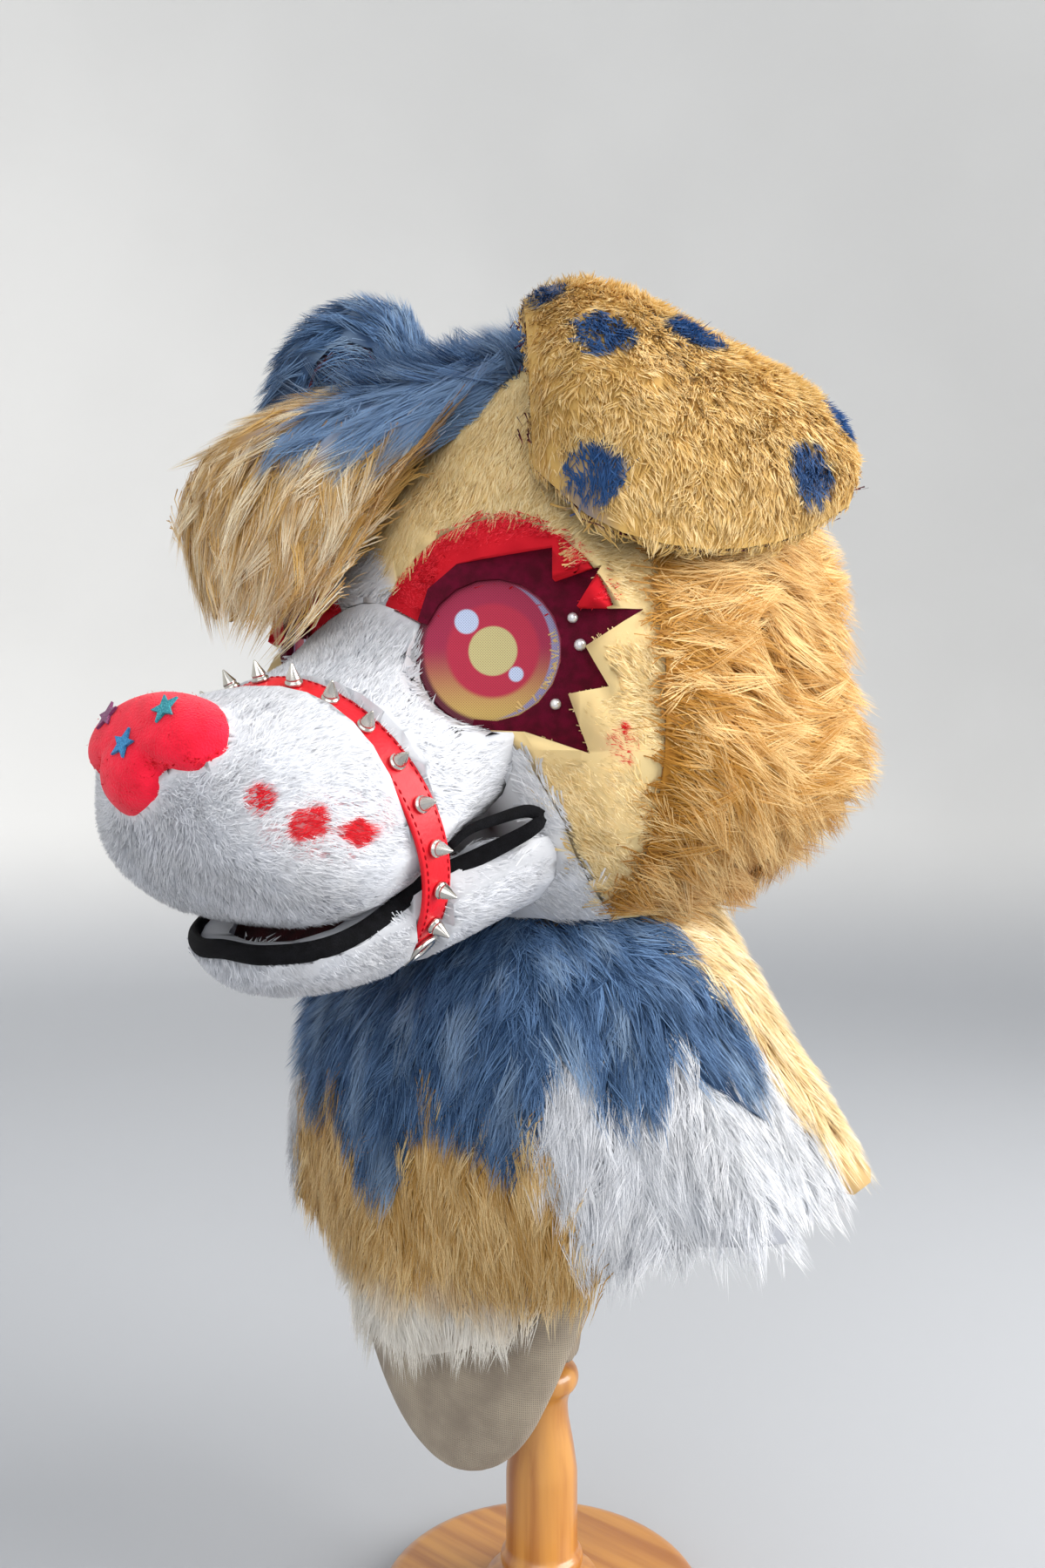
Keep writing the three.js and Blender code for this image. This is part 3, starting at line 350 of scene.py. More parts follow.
def make_weave():
    """Threads both ways: the larger of two sine waves, one up the cloth and one across, broken by noise."""
    tree, given, out = new_group("Weave", [("Position", "v"), ("Threads", "f")], [("Height", "f")])
    noise = put(tree, "ShaderNodeTexNoise", {"Vector": given[0], "Scale": 90.0, "Detail": 2.0})
    parts = put(tree, "ShaderNodeSeparateXYZ", {0: given[0]}).outputs
    wobble = math_node(tree, "MULTIPLY", noise.outputs[0], 3.0)
    across = scaled(tree, parts[2], given[1], wobble)
    sideways = math_node(tree, "ADD", parts[0], math_node(tree, "MULTIPLY", parts[1], 0.7))
    along = scaled(tree, sideways, given[1], wobble)
    waves = [math_node(tree, "SINE", wave) for wave in (across, along)]
    tree.links.new(math_node(tree, "MAXIMUM", *waves), out[0])
    return tree


def make_fur_tint():
    """Hair colour: root to middle over the first part of a hair, then tip, varied by hair and by lock. The
    darker root colour is painted shade deep in the pile.
    """
    tree, given, out = new_group(
        "Fur tint",
        [("Root", "c"), ("Middle", "c"), ("Tip", "c"), ("Mark", "c"),
         ("Along", "f"), ("Hair", "f"), ("Lock", "f"), ("Share", "f")],
        [("Colour", "c")],
    )
    root, middle, tip, mark, along, hair, lock, share = given[:8]
    light = math_node(tree, "ADD", along, math_node(tree, "SUBTRACT", hair, 0.5))
    light = math_node(tree, "ADD", light, math_node(tree, "SUBTRACT", lock, 0.5))
    body = mixed(tree, ramped(tree, light, 0.2, 1.4), middle, tip)
    body = mixed(tree, share, body, mark)
    shade = math_node(tree, "MULTIPLY", scaled(tree, lock, 0.2, 0.9), scaled(tree, hair, 0.14, 0.93))
    grey = put(tree, "ShaderNodeCombineColor", {0: shade, 1: shade, 2: shade}).outputs[0]
    body = mixed(tree, 1.0, body, grey, "MULTIPLY")
    deep = mixed(tree, math_node(tree, "MULTIPLY", share, 0.8), root, mark)
    deep = mixed(tree, 0.25, deep, body)
    tree.links.new(mixed(tree, ramped(tree, along, -0.05, 0.5), deep, body), out[0])
    return tree


MOTTLE, WEAVE, FUR_TINT = make_mottle(), make_weave(), make_fur_tint()
print("shared effects:", [group.name for group in (MOTTLE, WEAVE, FUR_TINT)])


def mottled(tree, place, scale, detail):
    """The mottling's value at each place, for patches of about one over the scale, in metres."""
    return use_group(tree, MOTTLE, {"Position": place, "Scale": scale, "Detail": detail})[0]


# %% Fur finishes


GLOW = 0.35


def fur_material(name, root, middle, tip, mark, gloss=0.2, sheen=0.12):
    """Fur that reads along, hair and lock from the strand attribute, and a second colour from mark.

    A mark below 0 turns the fur white. The share GLOW of the light goes through each hair, as through fibres.
    """
    material, tree, principled, place = new_material(
        name, Specular_IOR_Level=gloss, Sheen_Weight=sheen, Sheen_Roughness=0.5
    )
    strand = put(tree, "ShaderNodeAttribute", attribute_name="strand").outputs["Vector"]
    along, hair, lock = put(tree, "ShaderNodeSeparateXYZ", {0: strand}).outputs
    share = put(tree, "ShaderNodeAttribute", attribute_name="mark").outputs["Fac"]
    colours = {"Root": linear(root), "Middle": linear(middle), "Tip": linear(tip), "Mark": linear(mark)}
    tint = use_group(tree, FUR_TINT, {**colours, "Along": along, "Hair": hair, "Lock": lock, "Share": share})
    patches = mottled(tree, place, 38.0, 3.0)
    shaded = mixed(tree, math_node(tree, "MULTIPLY", patches, 0.25), tint[0], linear(0xD8D4CE), "MULTIPLY")
    shaded = mixed(tree, ramped(tree, share, 0.0, -0.6), shaded, linear(0xE4E5E8))
    cover(tree, principled, shaded, scaled(tree, hair, 0.25, 0.5))
    through = put(tree, "ShaderNodeBsdfTranslucent", {"Color": shaded}).outputs[0]
    both = put(tree, "ShaderNodeMixShader", {0: GLOW, 1: principled.outputs[0], 2: through}).outputs[0]
    tree.links.new(both, tree.nodes["Material Output"].inputs["Surface"])
    return material


FACE_CREAM = fur_material("cream_face_plush", 0xE2BA72, 0xF3D89A, 0xFBEBC0, 0xD8101C)
# The cheek fur's dark golden root and middle colours are partly its own golden roots and partly painted shade
# of the tufts.
CREAM = fur_material("cream_cheek_fur", 0x925A0C, 0xCC943A, 0xF4D79C, 0xD8101C)
BACK_CREAM = fur_material("cream_back_fur", 0xCBA262, 0xEDD29A, 0xFAEFD2, 0xD8101C)
EAR_CREAM = fur_material("cream_ear_fur", 0xCCA052, 0xE0B96C, 0xF2DAA4, 0x345C92)
GOLD = fur_material("gold_bib_fur", 0x94702F, 0xCDA056, 0xF0D8A4, 0xF6F2EA)
FRINGE_GOLD = fur_material("gold_fringe_fur", 0xA0702C, 0xE0B66A, 0xFCF3DA, 0x86A4C8)
BLUE = fur_material("blue_faux_fur", 0x1B2E4A, 0x35567F, 0x7092BB, 0xA9C2DC)
WHITE = fur_material("white_plush", 0xD2D5DC, 0xE4E6EB, 0xF3F4F8, 0xDC1A2A)
# The bib's long white side fur is greyer than the other whites, most at the roots: painted shade of those
# panels.
LONG_WHITE = fur_material("white_long_fur", 0x9A9DA8, 0xCDD0D6, 0xEFF0F3, 0xDC1A2A)
# The face's white plush has a dark mark colour: painted shade in the openings at the corners of the mouth.
FACE_WHITE = fur_material("white_face_plush", 0xD6D8DD, 0xE8E9EC, 0xF5F5F7, 0x2C1210)
RED = fur_material("red_plush", 0xA00A16, 0xE01A2A, 0xFA4656, 0xE01A2A, 0.06, 0.02)
MAROON = fur_material("maroon_plush", 0x22060E, 0x561624, 0x74283A, 0x561624)

# %% [markdown]
# ## How the fur is grown
# Faux fur could be a particle system, but hair curves carry no faces. Here every hair is a thin ribbon
# that tapers to a point. Each piece of the frame reaches to the tips of its fur, so the cloth skin is the
# same piece drawn in by the height of the pile. Hairs come in locks. A lock starts from a point on the
# outside, its tip, and walks back against the lie of the fur, staying on the surface, to its root.

# %% The solid behind a piece of fur


def solid(node):
    """Points in millimetres and triangles of a frame piece, with points that coincide made one."""
    mesh = frame["nodes"][node].data
    mesh.calc_loop_triangles()
    points = np.empty(len(mesh.vertices) * 3, np.float32)
    triangles = np.empty(len(mesh.loop_triangles) * 3, np.int32)
    mesh.vertices.foreach_get("co", points)
    mesh.loop_triangles.foreach_get("vertices", triangles)
    points = points.reshape(-1, 3).astype(float) / MM
    _, first, same = np.unique(np.round(points, 2), axis=0, return_index=True, return_inverse=True)
    triangles = same.ravel()[triangles].reshape(-1, 3)
    whole = (np.diff(np.sort(triangles, axis=1), axis=1) > 0).all(1)
    return points[first], triangles[whole]


def face_facts(points, triangles):
    """Centre, area and outward direction of each triangle, from the cross product of two edges."""
    a, b, c = (points[triangles[:, k]] for k in range(3))
    across = np.cross(b - a, c - a) / 2
    return (a + b + c) / 3, np.linalg.norm(across, axis=1), unit(across)


# %% Which faces carry fur


def away_from(low, high, least):
    """Faces that look away from a line between two corners: from its nearest point, by at least a cosine."""

    def chosen(centre, out):
        return dot(unit(centre - np.clip(centre, low, high)), out) > least

    return chosen


def any_way(centre, out):
    """Every face, for ears and fringe, which have fur on all that shows."""
    return np.full(len(centre), True)


def surface_dots(node, every=14.0):
    """Random points on a frame piece, one for each few square millimetres, and the way each one faces."""
    points, triangles = solid(node)
    _, area, out = face_facts(points, triangles)
    pick = np.repeat(np.arange(len(triangles)), np.ceil(area / every).astype(int))
    share = random.dirichlet((1, 1, 1), len(pick))
    return (points[triangles[pick]] * share[..., None]).sum(1), out[pick]


DOTS = {node: surface_dots(node) for node in frame["nodes"]}
# How many points are set against all samples at a time, so that the distances fit in memory.
BATCH = {"covered": 400, "settle": 3000}


def covered(node, centre, out, reach=6.0):
    """Faces against another piece: a point of its surface is near, in front, and faces the other way.

    The thin lids don't count, because the fur goes on under their edges.
    """
    others = [dots for name, dots in DOTS.items() if name != node and not name.startswith("lid_")]
    place, facing = (np.concatenate([dots[k] for dots in others]) for k in (0, 1))
    near = ((place > centre.min(0) - reach) & (place < centre.max(0) + reach)).all(1)
    place, facing = place[near], facing[near]
    hidden = np.empty(len(centre), bool)
    for part in np.array_split(np.arange(len(centre)), len(centre) // BATCH["covered"] + 1):
        c = centre[part]
        far = dot(c, c)[:, None] + dot(place, place)[None] - 2 * c @ place.T
        ahead = out[part] @ place.T - dot(out[part], c)[:, None]
        hidden[part] = ((far < reach**2) & (out[part] @ facing.T < -0.5) & (ahead > -0.3)).any(1)
    return hidden


# %% Staying on a surface


def settle(points, normals, base, reach=7.0):
    """Move points on to the surface that samples describe.

    Each sample weighs exp(-d^2 / 2 reach^2), times how well its direction agrees. The point moves along
    the weighted mean direction on to the plane through the weighted mean place. The last value is how far
    the nearest sample is.
    """
    place, out, depth = base
    foot, facing = np.empty_like(points), np.empty_like(points)
    sunk, gap = np.empty(len(points)), np.empty(len(points))
    for part in np.array_split(np.arange(len(points)), len(points) // BATCH["settle"] + 1):
        p, n = points[part], normals[part]
        far = dot(p, p)[:, None] + dot(place, place)[None] - 2 * p @ place.T
        agree = np.clip(n @ out.T, 0, 1) + 0.01
        gap[part] = np.sqrt(np.maximum(far.min(1), 0))
        weight = np.exp(-(far - far.min(1, keepdims=True)) / (2 * reach**2)) * agree
        weight /= weight.sum(1, keepdims=True)
        mean, lean = weight @ place, unit(weight @ out)
        foot[part] = p - dot(p - mean, lean)[:, None] * lean
        facing[part], sunk[part] = lean, weight @ depth
    return foot, facing, sunk, gap


def ripple(points, size, seed):
    """A smooth field near -1..1: the mean of five sine waves of about the given size."""
    draw = np.random.default_rng(seed)
    waves = unit(draw.normal(size=(5, 3))) * draw.uniform(0.7, 1.5, (5, 1)) * 2 * np.pi / size
    return np.sin(points @ waves.T + draw.uniform(0, 6.3, 5)).mean(1) * 1.6


# %% Hairs of a lock
# A coat's sizes are in millimetres, its angles in radians and its shares of 1. A coat adds to or replaces
# these, and gives parts, each, spread, gather, width, pile, reach, hairs, faces and lie_along as well.
EVERY_COAT = {
    "stray": 0.3, "swirl": 60.0, "lock_stray": 0.15, "wave": 0, "lift": 0, "sparkle": 0.3, "under": 0.12,
    "rim": 100, "edge_gap": 7, "beyond": 0, "skin_mark": 1.0,
    "crowd": lambda p: np.ones(len(p)),
    "further": lambda p: np.ones(len(p)),
    "length": lambda p: np.ones(len(p)),
    "bare": lambda p: np.full(len(p), False),
    "mark": lambda p: np.zeros(len(p)),
    "trim": lambda p: p,
}
# Of single hairs: the latest root and the shortest end along a lock, the waves in a lock, the power by
# which the depth falls, the turn of a ribbon on its line, and the widths from root to tip.
LATEST_ROOT, SHORTEST, WAVES, DROP, TWIST, TAPER = 0.3, 0.78, 0.8, 0.8, 0.5, (1, 0.95, 0.7, 0.5)


def ribbon_faces(hairs, parts):
    """Triangles of tapered ribbons: two for each part but the last, which is one triangle at the tip."""
    first = np.arange(hairs)[:, None] * (2 * parts + 1)
    k = 2 * np.arange(parts - 1)[None]
    low = np.stack([first + k + 1, first + k, first + k + 2], -1).reshape(-1, 3)
    high = np.stack([first + k + 1, first + k + 2, first + k + 3], -1).reshape(-1, 3)
    last = 2 * (parts - 1)
    tips = np.stack([first + last + 1, first + last, first + last + 2], -1).reshape(-1, 3)
    return np.concatenate([low, high, tips])


def hairs_of(spine, normals, sunk, length, coat):
    """Ribbons round each lock's middle line.

    spine and normals are (places, locks, 3) from root to tip. A hair keeps its own side offset, which
    shrinks towards the tip, its own start and end along the line, and a depth that falls from the whole
    pile at the root to nearly nothing at the tip.
    """
    locks, parts = spine.shape[1], coat["parts"]
    which = np.repeat(np.arange(locks), coat["each"])
    count = len(which)
    side_share = random.uniform(-1, 1, count)
    start = random.uniform(0, LATEST_ROOT, count)
    end = random.uniform(SHORTEST, 1.0, count)
    ahead = random.normal(0, coat["spread"] * 0.5, count)
    tip_depth = random.uniform(-0.12, 0.5, count) ** 3 * 3.2 * np.clip(sunk[which], 0.3, coat["pile"])
    hair_tone = random.uniform(0, 1, count)
    lock_tone = random.uniform(0, 1, locks)[which]
    phase = random.uniform(0, 6.3, locks)[which] + random.normal(0, 0.5, count)
    t = np.linspace(0, 1, parts + 1)[:, None]
    at = (start + (end - start) * t) * (len(spine) - 1)
    i = np.minimum(at.astype(int), len(spine) - 2)
    f = (at - i)[..., None]
    line = spine[i, which] * (1 - f) + spine[i + 1, which] * f
    out = unit(normals[i, which] * (1 - f) + normals[i + 1, which] * f)
    run = unit(spine[i + 1, which] - spine[i, which])
    across = unit(np.cross(out, run))
    wide = coat["spread"] * (1 - t) + coat["gather"] * t
    wave = coat["wave"] * length[which] * np.sin(2 * np.pi * WAVES * t + phase) * t
    depth = sunk[which] * (1 - t) ** DROP + tip_depth * t
    middle = line + across * (side_share * wide + wave)[..., None] + run * (ahead * (1 - 0.4 * t))[..., None]
    lift = coat["lift"] * (length * random.uniform(-0.3, 1, locks))[which] * t**2
    middle = middle + out * (lift - depth)[..., None]
    run = unit(np.gradient(middle, axis=0))
    across = unit(np.cross(out, run))
    twist = random.normal(0, TWIST, count)[None, :, None]
    edge = across * np.cos(twist) + unit(np.cross(run, across)) * np.sin(twist)
    width = coat["width"] / 2 * np.array(TAPER[:parts])[:, None, None]
    width = width * random.uniform(0.7, 1.3, count)[None, :, None]
    left, right = middle[:-1] - edge[:-1] * width, middle[:-1] + edge[:-1] * width
    pairs = np.stack([left, right], 2).transpose(1, 0, 2, 3).reshape(count, 2 * parts, 3)
    points = np.concatenate([pairs, middle[-1][:, None]], 1)
    lean = unit(out + coat["sparkle"] * random.normal(0, 1, (1, count, 3)))
    lean = np.concatenate([np.repeat(lean[:-1].transpose(1, 0, 2), 2, axis=1), lean[-1][:, None]], 1)
    along = np.append(np.repeat(t[:-1, 0], 2), 1.0)
    strand = np.stack(np.broadcast_arrays(along[None], hair_tone[:, None], lock_tone[:, None]), -1)
    points, strand, lean = (a.reshape(-1, 3) for a in (points, strand, lean))
    return points, ribbon_faces(count, parts), strand, lean, middle[-1]


# %% A whole coat


def corner_normals(points, triangles, chosen=1):
    """At each point the mean direction of its chosen faces, each counted by its area, or 0 without any."""
    _, area, out = face_facts(points, triangles)
    lean = np.zeros_like(points)
    for k in range(3):
        np.add.at(lean, triangles[:, k], out * (area * chosen)[:, None])
    return unit(lean)


# A distance that stands for none, the cosine under which a face counts as behind, and the share of a wall
# that may be taken up by pile.
FAR, BEHIND, WALL_SHARE = 1e6, -0.3, 0.45


def sink_skin(points, triangles, furred, pile, rim):
    """Draw furred points in along their mean direction, by the pile or a share of the wall behind them.

    Points on the edge of the furred part go in by no more than the rim, so that no slit opens at a seam.
    """
    centre, _, out = face_facts(points, triangles)
    lean = corner_normals(points, triangles, furred)
    touched = np.linalg.norm(lean, axis=1) > 0
    gap = np.linalg.norm(points[:, None] - centre[None], axis=2)
    gap[(lean @ out.T) > BEHIND] = FAR
    behind = gap.argmin(1)
    room = np.abs(dot(points - centre[behind], out[behind]))
    room[gap.min(1) == FAR] = FAR
    sink = np.minimum(pile, WALL_SHARE * room) * touched
    edge = np.unique(triangles[~furred])
    sink[edge] = np.minimum(sink[edge], rim)
    return points - lean * sink[:, None], lean, sink


def scatter(points, triangles, chosen, lean, sink, count):
    """Random places on triangles, by area times choice; directions and depths are mixed from the corners."""
    area = face_facts(points, triangles)[1] * chosen
    pick = triangles[random.choice(len(triangles), count, p=area / area.sum())]
    share = random.dirichlet((1, 1, 1), count)
    place = (points[pick] * share[..., None]).sum(1)
    return place, unit((lean[pick] * share[..., None]).sum(1)), (sink[pick] * share).sum(1)


def comb(points, normals, coat, seed):
    """The lie of the fur: the coat's own direction, laid on the surface and turned by a smooth ripple."""
    lie = coat["lie_along"](points)
    lie = unit(lie - dot(lie, normals)[:, None] * normals)
    turn = coat["stray"] * ripple(points, coat["swirl"], seed)[:, None]
    return unit(lie * np.cos(turn) + np.cross(normals, lie) * np.sin(turn))


def grow(node, coat, seed):
    """Skin and hairs for one frame piece: points, faces and the values its material reads."""
    coat = {**EVERY_COAT, **coat}
    points, triangles = solid(node)
    centre, area, out = face_facts(points, triangles)
    furred = coat["faces"](centre, out) & ~covered(node, centre, out)
    skin, lean, sink = sink_skin(points, triangles, furred, coat["pile"], coat["rim"])
    shown = (area * furred).sum()
    base = scatter(points, triangles, furred, lean, sink, int(np.clip(shown / 20, 300, 2400)))
    locks = coat["hairs"] // coat["each"]
    tip, normal, sunk = scatter(points, triangles, furred * coat["crowd"](centre), lean, sink, locks)
    kept = ~coat["bare"](tip)
    tip, normal, sunk, locks = tip[kept], normal[kept], sunk[kept], kept.sum()
    if coat["beyond"]:
        further = coat["further"](tip)[:, None]
        lie = comb(tip, normal, coat, seed)
        tip = tip + lie * coat["beyond"] * further * random.uniform(0, 1, (locks, 1))
    spine, normals, last_gap = [tip], [normal], np.full(len(tip), FAR)
    length = coat["length"](tip)
    step = coat["reach"] * length[:, None] * random.uniform(0.8, 1.15, (locks, 1)) / coat["parts"]
    stray = random.normal(0, coat["lock_stray"], (locks, 1))
    for _ in range(coat["parts"]):
        lie = comb(tip, normal, coat, seed)
        lie = unit(lie * np.cos(stray) + np.cross(normal, lie) * np.sin(stray))
        ahead, facing, deep, gap = settle(tip - lie * step, normal, base)
        off = (gap > coat["edge_gap"]) & (gap > last_gap)
        tip = np.where(off[:, None], tip - lie * step * 0.1, ahead)
        normal, sunk = np.where(off[:, None], normal, facing), np.where(off, sunk, deep)
        last_gap = np.where(off, last_gap, gap)
        spine.append(tip)
        normals.append(normal)
    hair_points, hair_faces, strand, leans, ends = hairs_of(
        np.array(spine[::-1]), np.array(normals[::-1]), sunk, length, coat
    )
    hair_points = coat["trim"](hair_points)
    skin_mark = np.minimum(coat["mark"](skin), coat["skin_mark"])
    per_hair = 2 * coat["parts"] + 1
    # The skin takes the colour a share under of the way along a hair, near the darker root colour: painted
    # shade between the hairs.
    skin_strand = np.zeros_like(skin) + (coat["under"], 0.5, 0.5)
    print(f"{node}: {shown / 1e4:.1f} dm2, {len(hair_points) // per_hair} hairs, {len(hair_faces)} faces")
    return {
        "skin": (skin, triangles, skin_strand, skin_mark, corner_normals(skin, triangles)),
        "hair": (hair_points, hair_faces, strand, np.repeat(coat["mark"](ends), per_hair), leans),
    }


# %% [markdown]
# ## The lie of the fur
# Fur has a direction, which the maker turns when the pattern is cut. On the bib it hangs, on the cheeks it
# is brushed back and out, on the fringe it is combed forward from the crown, and on the ears it runs from
# the head to the free edge. Each direction is a short function of place.

# %% Directions by place


def side_of(points):
    """-1 on the dog's right and 1 on its left."""
    return np.where(points[:, 0] < 0, -1.0, 1.0)


def lie_bib(points):
    """Down, and a little outwards; near the neck it is swept back round the sides."""
    neck = soft_step(points[:, 2], 350, 400)
    out = unit(points * (1, 1, 0))
    back = np.stack([0 * neck, neck * 0.7 * soft_step(np.abs(points[:, 0]), 20, 90), 0 * neck], -1)
    return out * 0.2 + back + (0, 0, -1)


def lie_cheek(points):
    """Back and out; down at the lower end of the tuft and slightly up at its upper end."""
    z = points[:, 2]
    tilt = -0.35 - 0.9 * soft_step(-z, -480, -420) + 0.35 * soft_step(z, 550, 630)
    return np.stack([0.45 * side_of(points), np.ones(len(z)), tilt], -1)


def lie_face(points):
    """Back from the nose, and a little down below the eyes and up above them."""
    tilt = 0.9 * soft_step(points[:, 2], 520, 640) - 0.35
    return np.stack([0.25 * side_of(points), np.ones(len(tilt)), tilt], -1)


def lie_back(points):
    """Down the back of the head."""
    return np.zeros_like(points) + (0, 0.25, -1)


def lie_snout(points):
    """Back from the nose, spreading to the sides."""
    return np.stack([0.004 * points[:, 0], np.ones(len(points)), 0.003 * (points[:, 2] - 470)], -1)


def lie_through(rows, side=1, reach=16.0):
    """Along lines through the rows of a table: spans of the lines, weighed by exp(-d^2 / 2 reach^2)."""
    lines = np.array(rows, float) * (side, 1, 1)
    span = lines[:, 1:] - lines[:, :-1]
    steps = np.linspace(0, 1, 6)[None, None, :, None]
    place = (lines[:, :-1, None] + span[:, :, None] * steps).reshape(-1, 3)
    along = np.repeat(unit(span)[:, :, None], 6, 2).reshape(-1, 3)

    def lie(points):
        far = np.linalg.norm(points[:, None] - place[None], axis=2) ** 2
        weight = np.exp(-(far - far.min(1, keepdims=True)) / (2 * reach**2))
        return unit(weight @ along)

    return lie


# %% Lines from the head to the free edge of each ear, and from the crown to the tips of the fringe
# Each row is a line: the seam on the head, the fold, the bulge and the edge, in millimetres.
NEAR_EAR = [
    [(50, -66, 660), (58, -84, 702), (80, -106, 668), (90, -113, 612)],
    [(60, -50, 680), (76, -56, 710), (112, -90, 664), (124, -106, 582)],
    [(82, -14, 678), (104, -12, 692), (140, -44, 650), (150, -64, 574)],
    [(98, 30, 662), (130, 30, 674), (160, 4, 638), (166, -16, 584)],
    [(106, 62, 640), (146, 66, 652), (168, 48, 634), (172, 30, 606)],
]
FAR_EAR = [
    [(46, -64, 660), (56, -84, 708), (68, -104, 696), (78, -116, 650)],
    [(50, -44, 680), (70, -62, 734), (96, -92, 716), (108, -114, 640)],
    [(66, -10, 684), (92, -32, 746), (128, -64, 712), (142, -90, 622)],
    [(90, 28, 668), (120, 6, 724), (156, -22, 684), (166, -42, 612)],
    [(102, 60, 642), (142, 52, 682), (168, 34, 658), (174, 14, 622)],
]
# Each row is a line down the fringe: root, over the brow, front, tip.
FRINGE = [
    [(44, -6, 698), (42, -62, 675), (27, -122, 634), (-24, -152, 570)],
    [(22, 4, 705), (12, -84, 672), (-16, -148, 628), (-50, -161, 549)],
    [(-4, 10, 708), (-24, -92, 671), (-56, -162, 628), (-78, -160, 545)],
    [(-28, 12, 705), (-56, -94, 676), (-98, -162, 626), (-98, -156, 558)],
    [(-46, 10, 697), (-84, -84, 678), (-122, -142, 626), (-120, -144, 582)],
]
lie_fringe = lie_through(FRINGE)
lie_near_ear, lie_far_ear = lie_through(NEAR_EAR), lie_through(FAR_EAR, -1)

# %% Coloured marks, as soft balls round a point


def spots(places, blur=0.25, wobble=0.25):
    """1 inside each (centre, radii) ball and 0 outside, its edge moved in and out by a ripple."""

    def share(points):
        edge = wobble * ripple(points, 16, 5)
        made = np.zeros(len(points))
        for centre, radii in places:
            far = np.linalg.norm((points - centre) / radii, axis=1) + edge
            made = np.maximum(made, 1 - soft_step(far, 1 - blur, 1 + blur))
        return made

    return share


def both_sides(places):
    """The same places on both sides of the head."""
    return places + [((-x, y, z), radii) for (x, y, z), radii in places]


MUZZLE_SPOTS = both_sides([
    ((60, -240, 466), (6, 8, 8)),
    ((69, -222, 454), (7, 9, 7)),
    ((76, -200, 450), (7, 9, 6)),
])
CHEEK_SPOTS = both_sides([((128, -92, 486), (9, 9, 9)), ((134, -76, 476), (6, 7, 7))])
EAR_SPOTS = [
    ((116, -94, 671), (14, 14, 16)),
    ((78, -92, 700), (12, 12, 12)),
    ((130, -38, 683), (13, 18, 14)),
    ((174, -8, 612), (14, 14, 17)),
    ((122, -110, 601), (15, 14, 14)),
    ((166, 40, 652), (16, 15, 14)),
]


def hem_frost(points):
    """White tips low on the front panel: the share grows towards the hem."""
    return soft_step(-points[:, 2] + 6 * ripple(points, 30, 9), -222, -196)


def light_streaks(points):
    """Pale streaks on blue fur, where a ripple is high."""
    return 0.6 * soft_step(ripple(points * (1, 1, 0.25), 26, 11), 0.1, 0.9)


# %% [markdown]
# ## Two kinds of coat
# Short plush stands nearly upright and hides its skin by number. Long pile lies down, so fewer hairs cover
# more skin, and its locks close towards their tips.

# %% The eyes' places, and the lids that the fur must clear
EYE = {"x": 69, "y": -117, "z": 531, "radius": 36, "yaw": math.radians(32)}
# The lid's outline as an angle from the ear side in degrees, and how far it reaches there.
LID_EDGE = [(-104, 37), (-66, 41), (-46, 66), (-30, 42), (-18, 57), (0, 44), (14, 71), (24, 44), (36, 63),
            (46, 42), (58, 54), (86, 42.5), (112, 42.5), (136, 41), (158, 37)]
LID_ROOM = {"gap": 0.3, "slope": 1.6, "below": 0.8, "ring": 3.5, "near": 30, "rest": 34}


def eye_axes(side):
    """Right towards the ear, up, and out towards the viewer, with the disc's middle."""
    yaw = EYE["yaw"] * side
    right = np.array([math.cos(yaw), math.sin(yaw), 0]) * side
    out = np.array([math.sin(yaw), -math.cos(yaw), 0])
    return np.array([right, (0, 0, 1), out]), np.array([EYE["x"] * side, EYE["y"], EYE["z"]], float)


def clear_of_lids(points):
    """Hold fur points down round each eye: under the lid's edge, and rising in a narrow ring beyond it."""
    angles, reaches = zip(*LID_EDGE)
    room, rest = LID_ROOM, LID_ROOM["rest"]
    for side in (1, -1):
        axes, middle = eye_axes(side)
        local = (points - middle) @ axes.T
        radius = np.hypot(local[:, 0], local[:, 1])
        edge = np.interp(np.degrees(np.arctan2(local[:, 1], local[:, 0])), angles, reaches, rest, rest)
        limit = np.maximum(radius - edge - room["gap"], 0) * room["slope"] - room["below"]
        over = (local[:, 2] > limit) & (np.abs(local[:, 2]) < room["near"]) & (radius < edge + room["ring"])
        local[:, 2] = np.where(over, limit, local[:, 2])
        points = np.where(over[:, None], local @ axes + middle, points)
    return points


# %% The strap's place, and how it presses the fur
STRAP = {"y": -167.5, "z": 448.5, "half_x": 79, "half_z": 71, "tilt": math.radians(22),
         "width": 17, "thick": 3, "press": 0.97}


def in_strap(points):
    """Sideways, up the ring and across the band, for points seen in the strap's own tilted plane."""
    x, y, z = points[:, 0], points[:, 1] - STRAP["y"], points[:, 2] - STRAP["z"]
    c, s = math.cos(STRAP["tilt"]), math.sin(STRAP["tilt"])
    return x, z * c - y * s, -y * c - z * s


def out_of_strap(x, up, along):
    """The places of such points in the frame."""
    c, s = math.cos(STRAP["tilt"]), math.sin(STRAP["tilt"])
    y, z = STRAP["y"] - up * s - along * c, STRAP["z"] + up * c - along * s
    return np.stack(np.broadcast_arrays(x, y, z), -1)


def under_strap(points):
    """Press fur points within the strap's width in to its inner face, as the leather does."""
    x, up, along = in_strap(clear_of_lids(points))
    ring = np.hypot(x / STRAP["half_x"], up / STRAP["half_z"])
    held = (np.abs(along) < STRAP["width"] / 2 + 0.6) & (ring > STRAP["press"])
    k = np.where(held, STRAP["press"] / np.maximum(ring, STRAP["press"]), 1)
    return out_of_strap(x * k, up * k, along)


# %% The lip's middle line, and the corner of the mouth
LIP_HIGH, LIP_DEEP = 8.8, 6
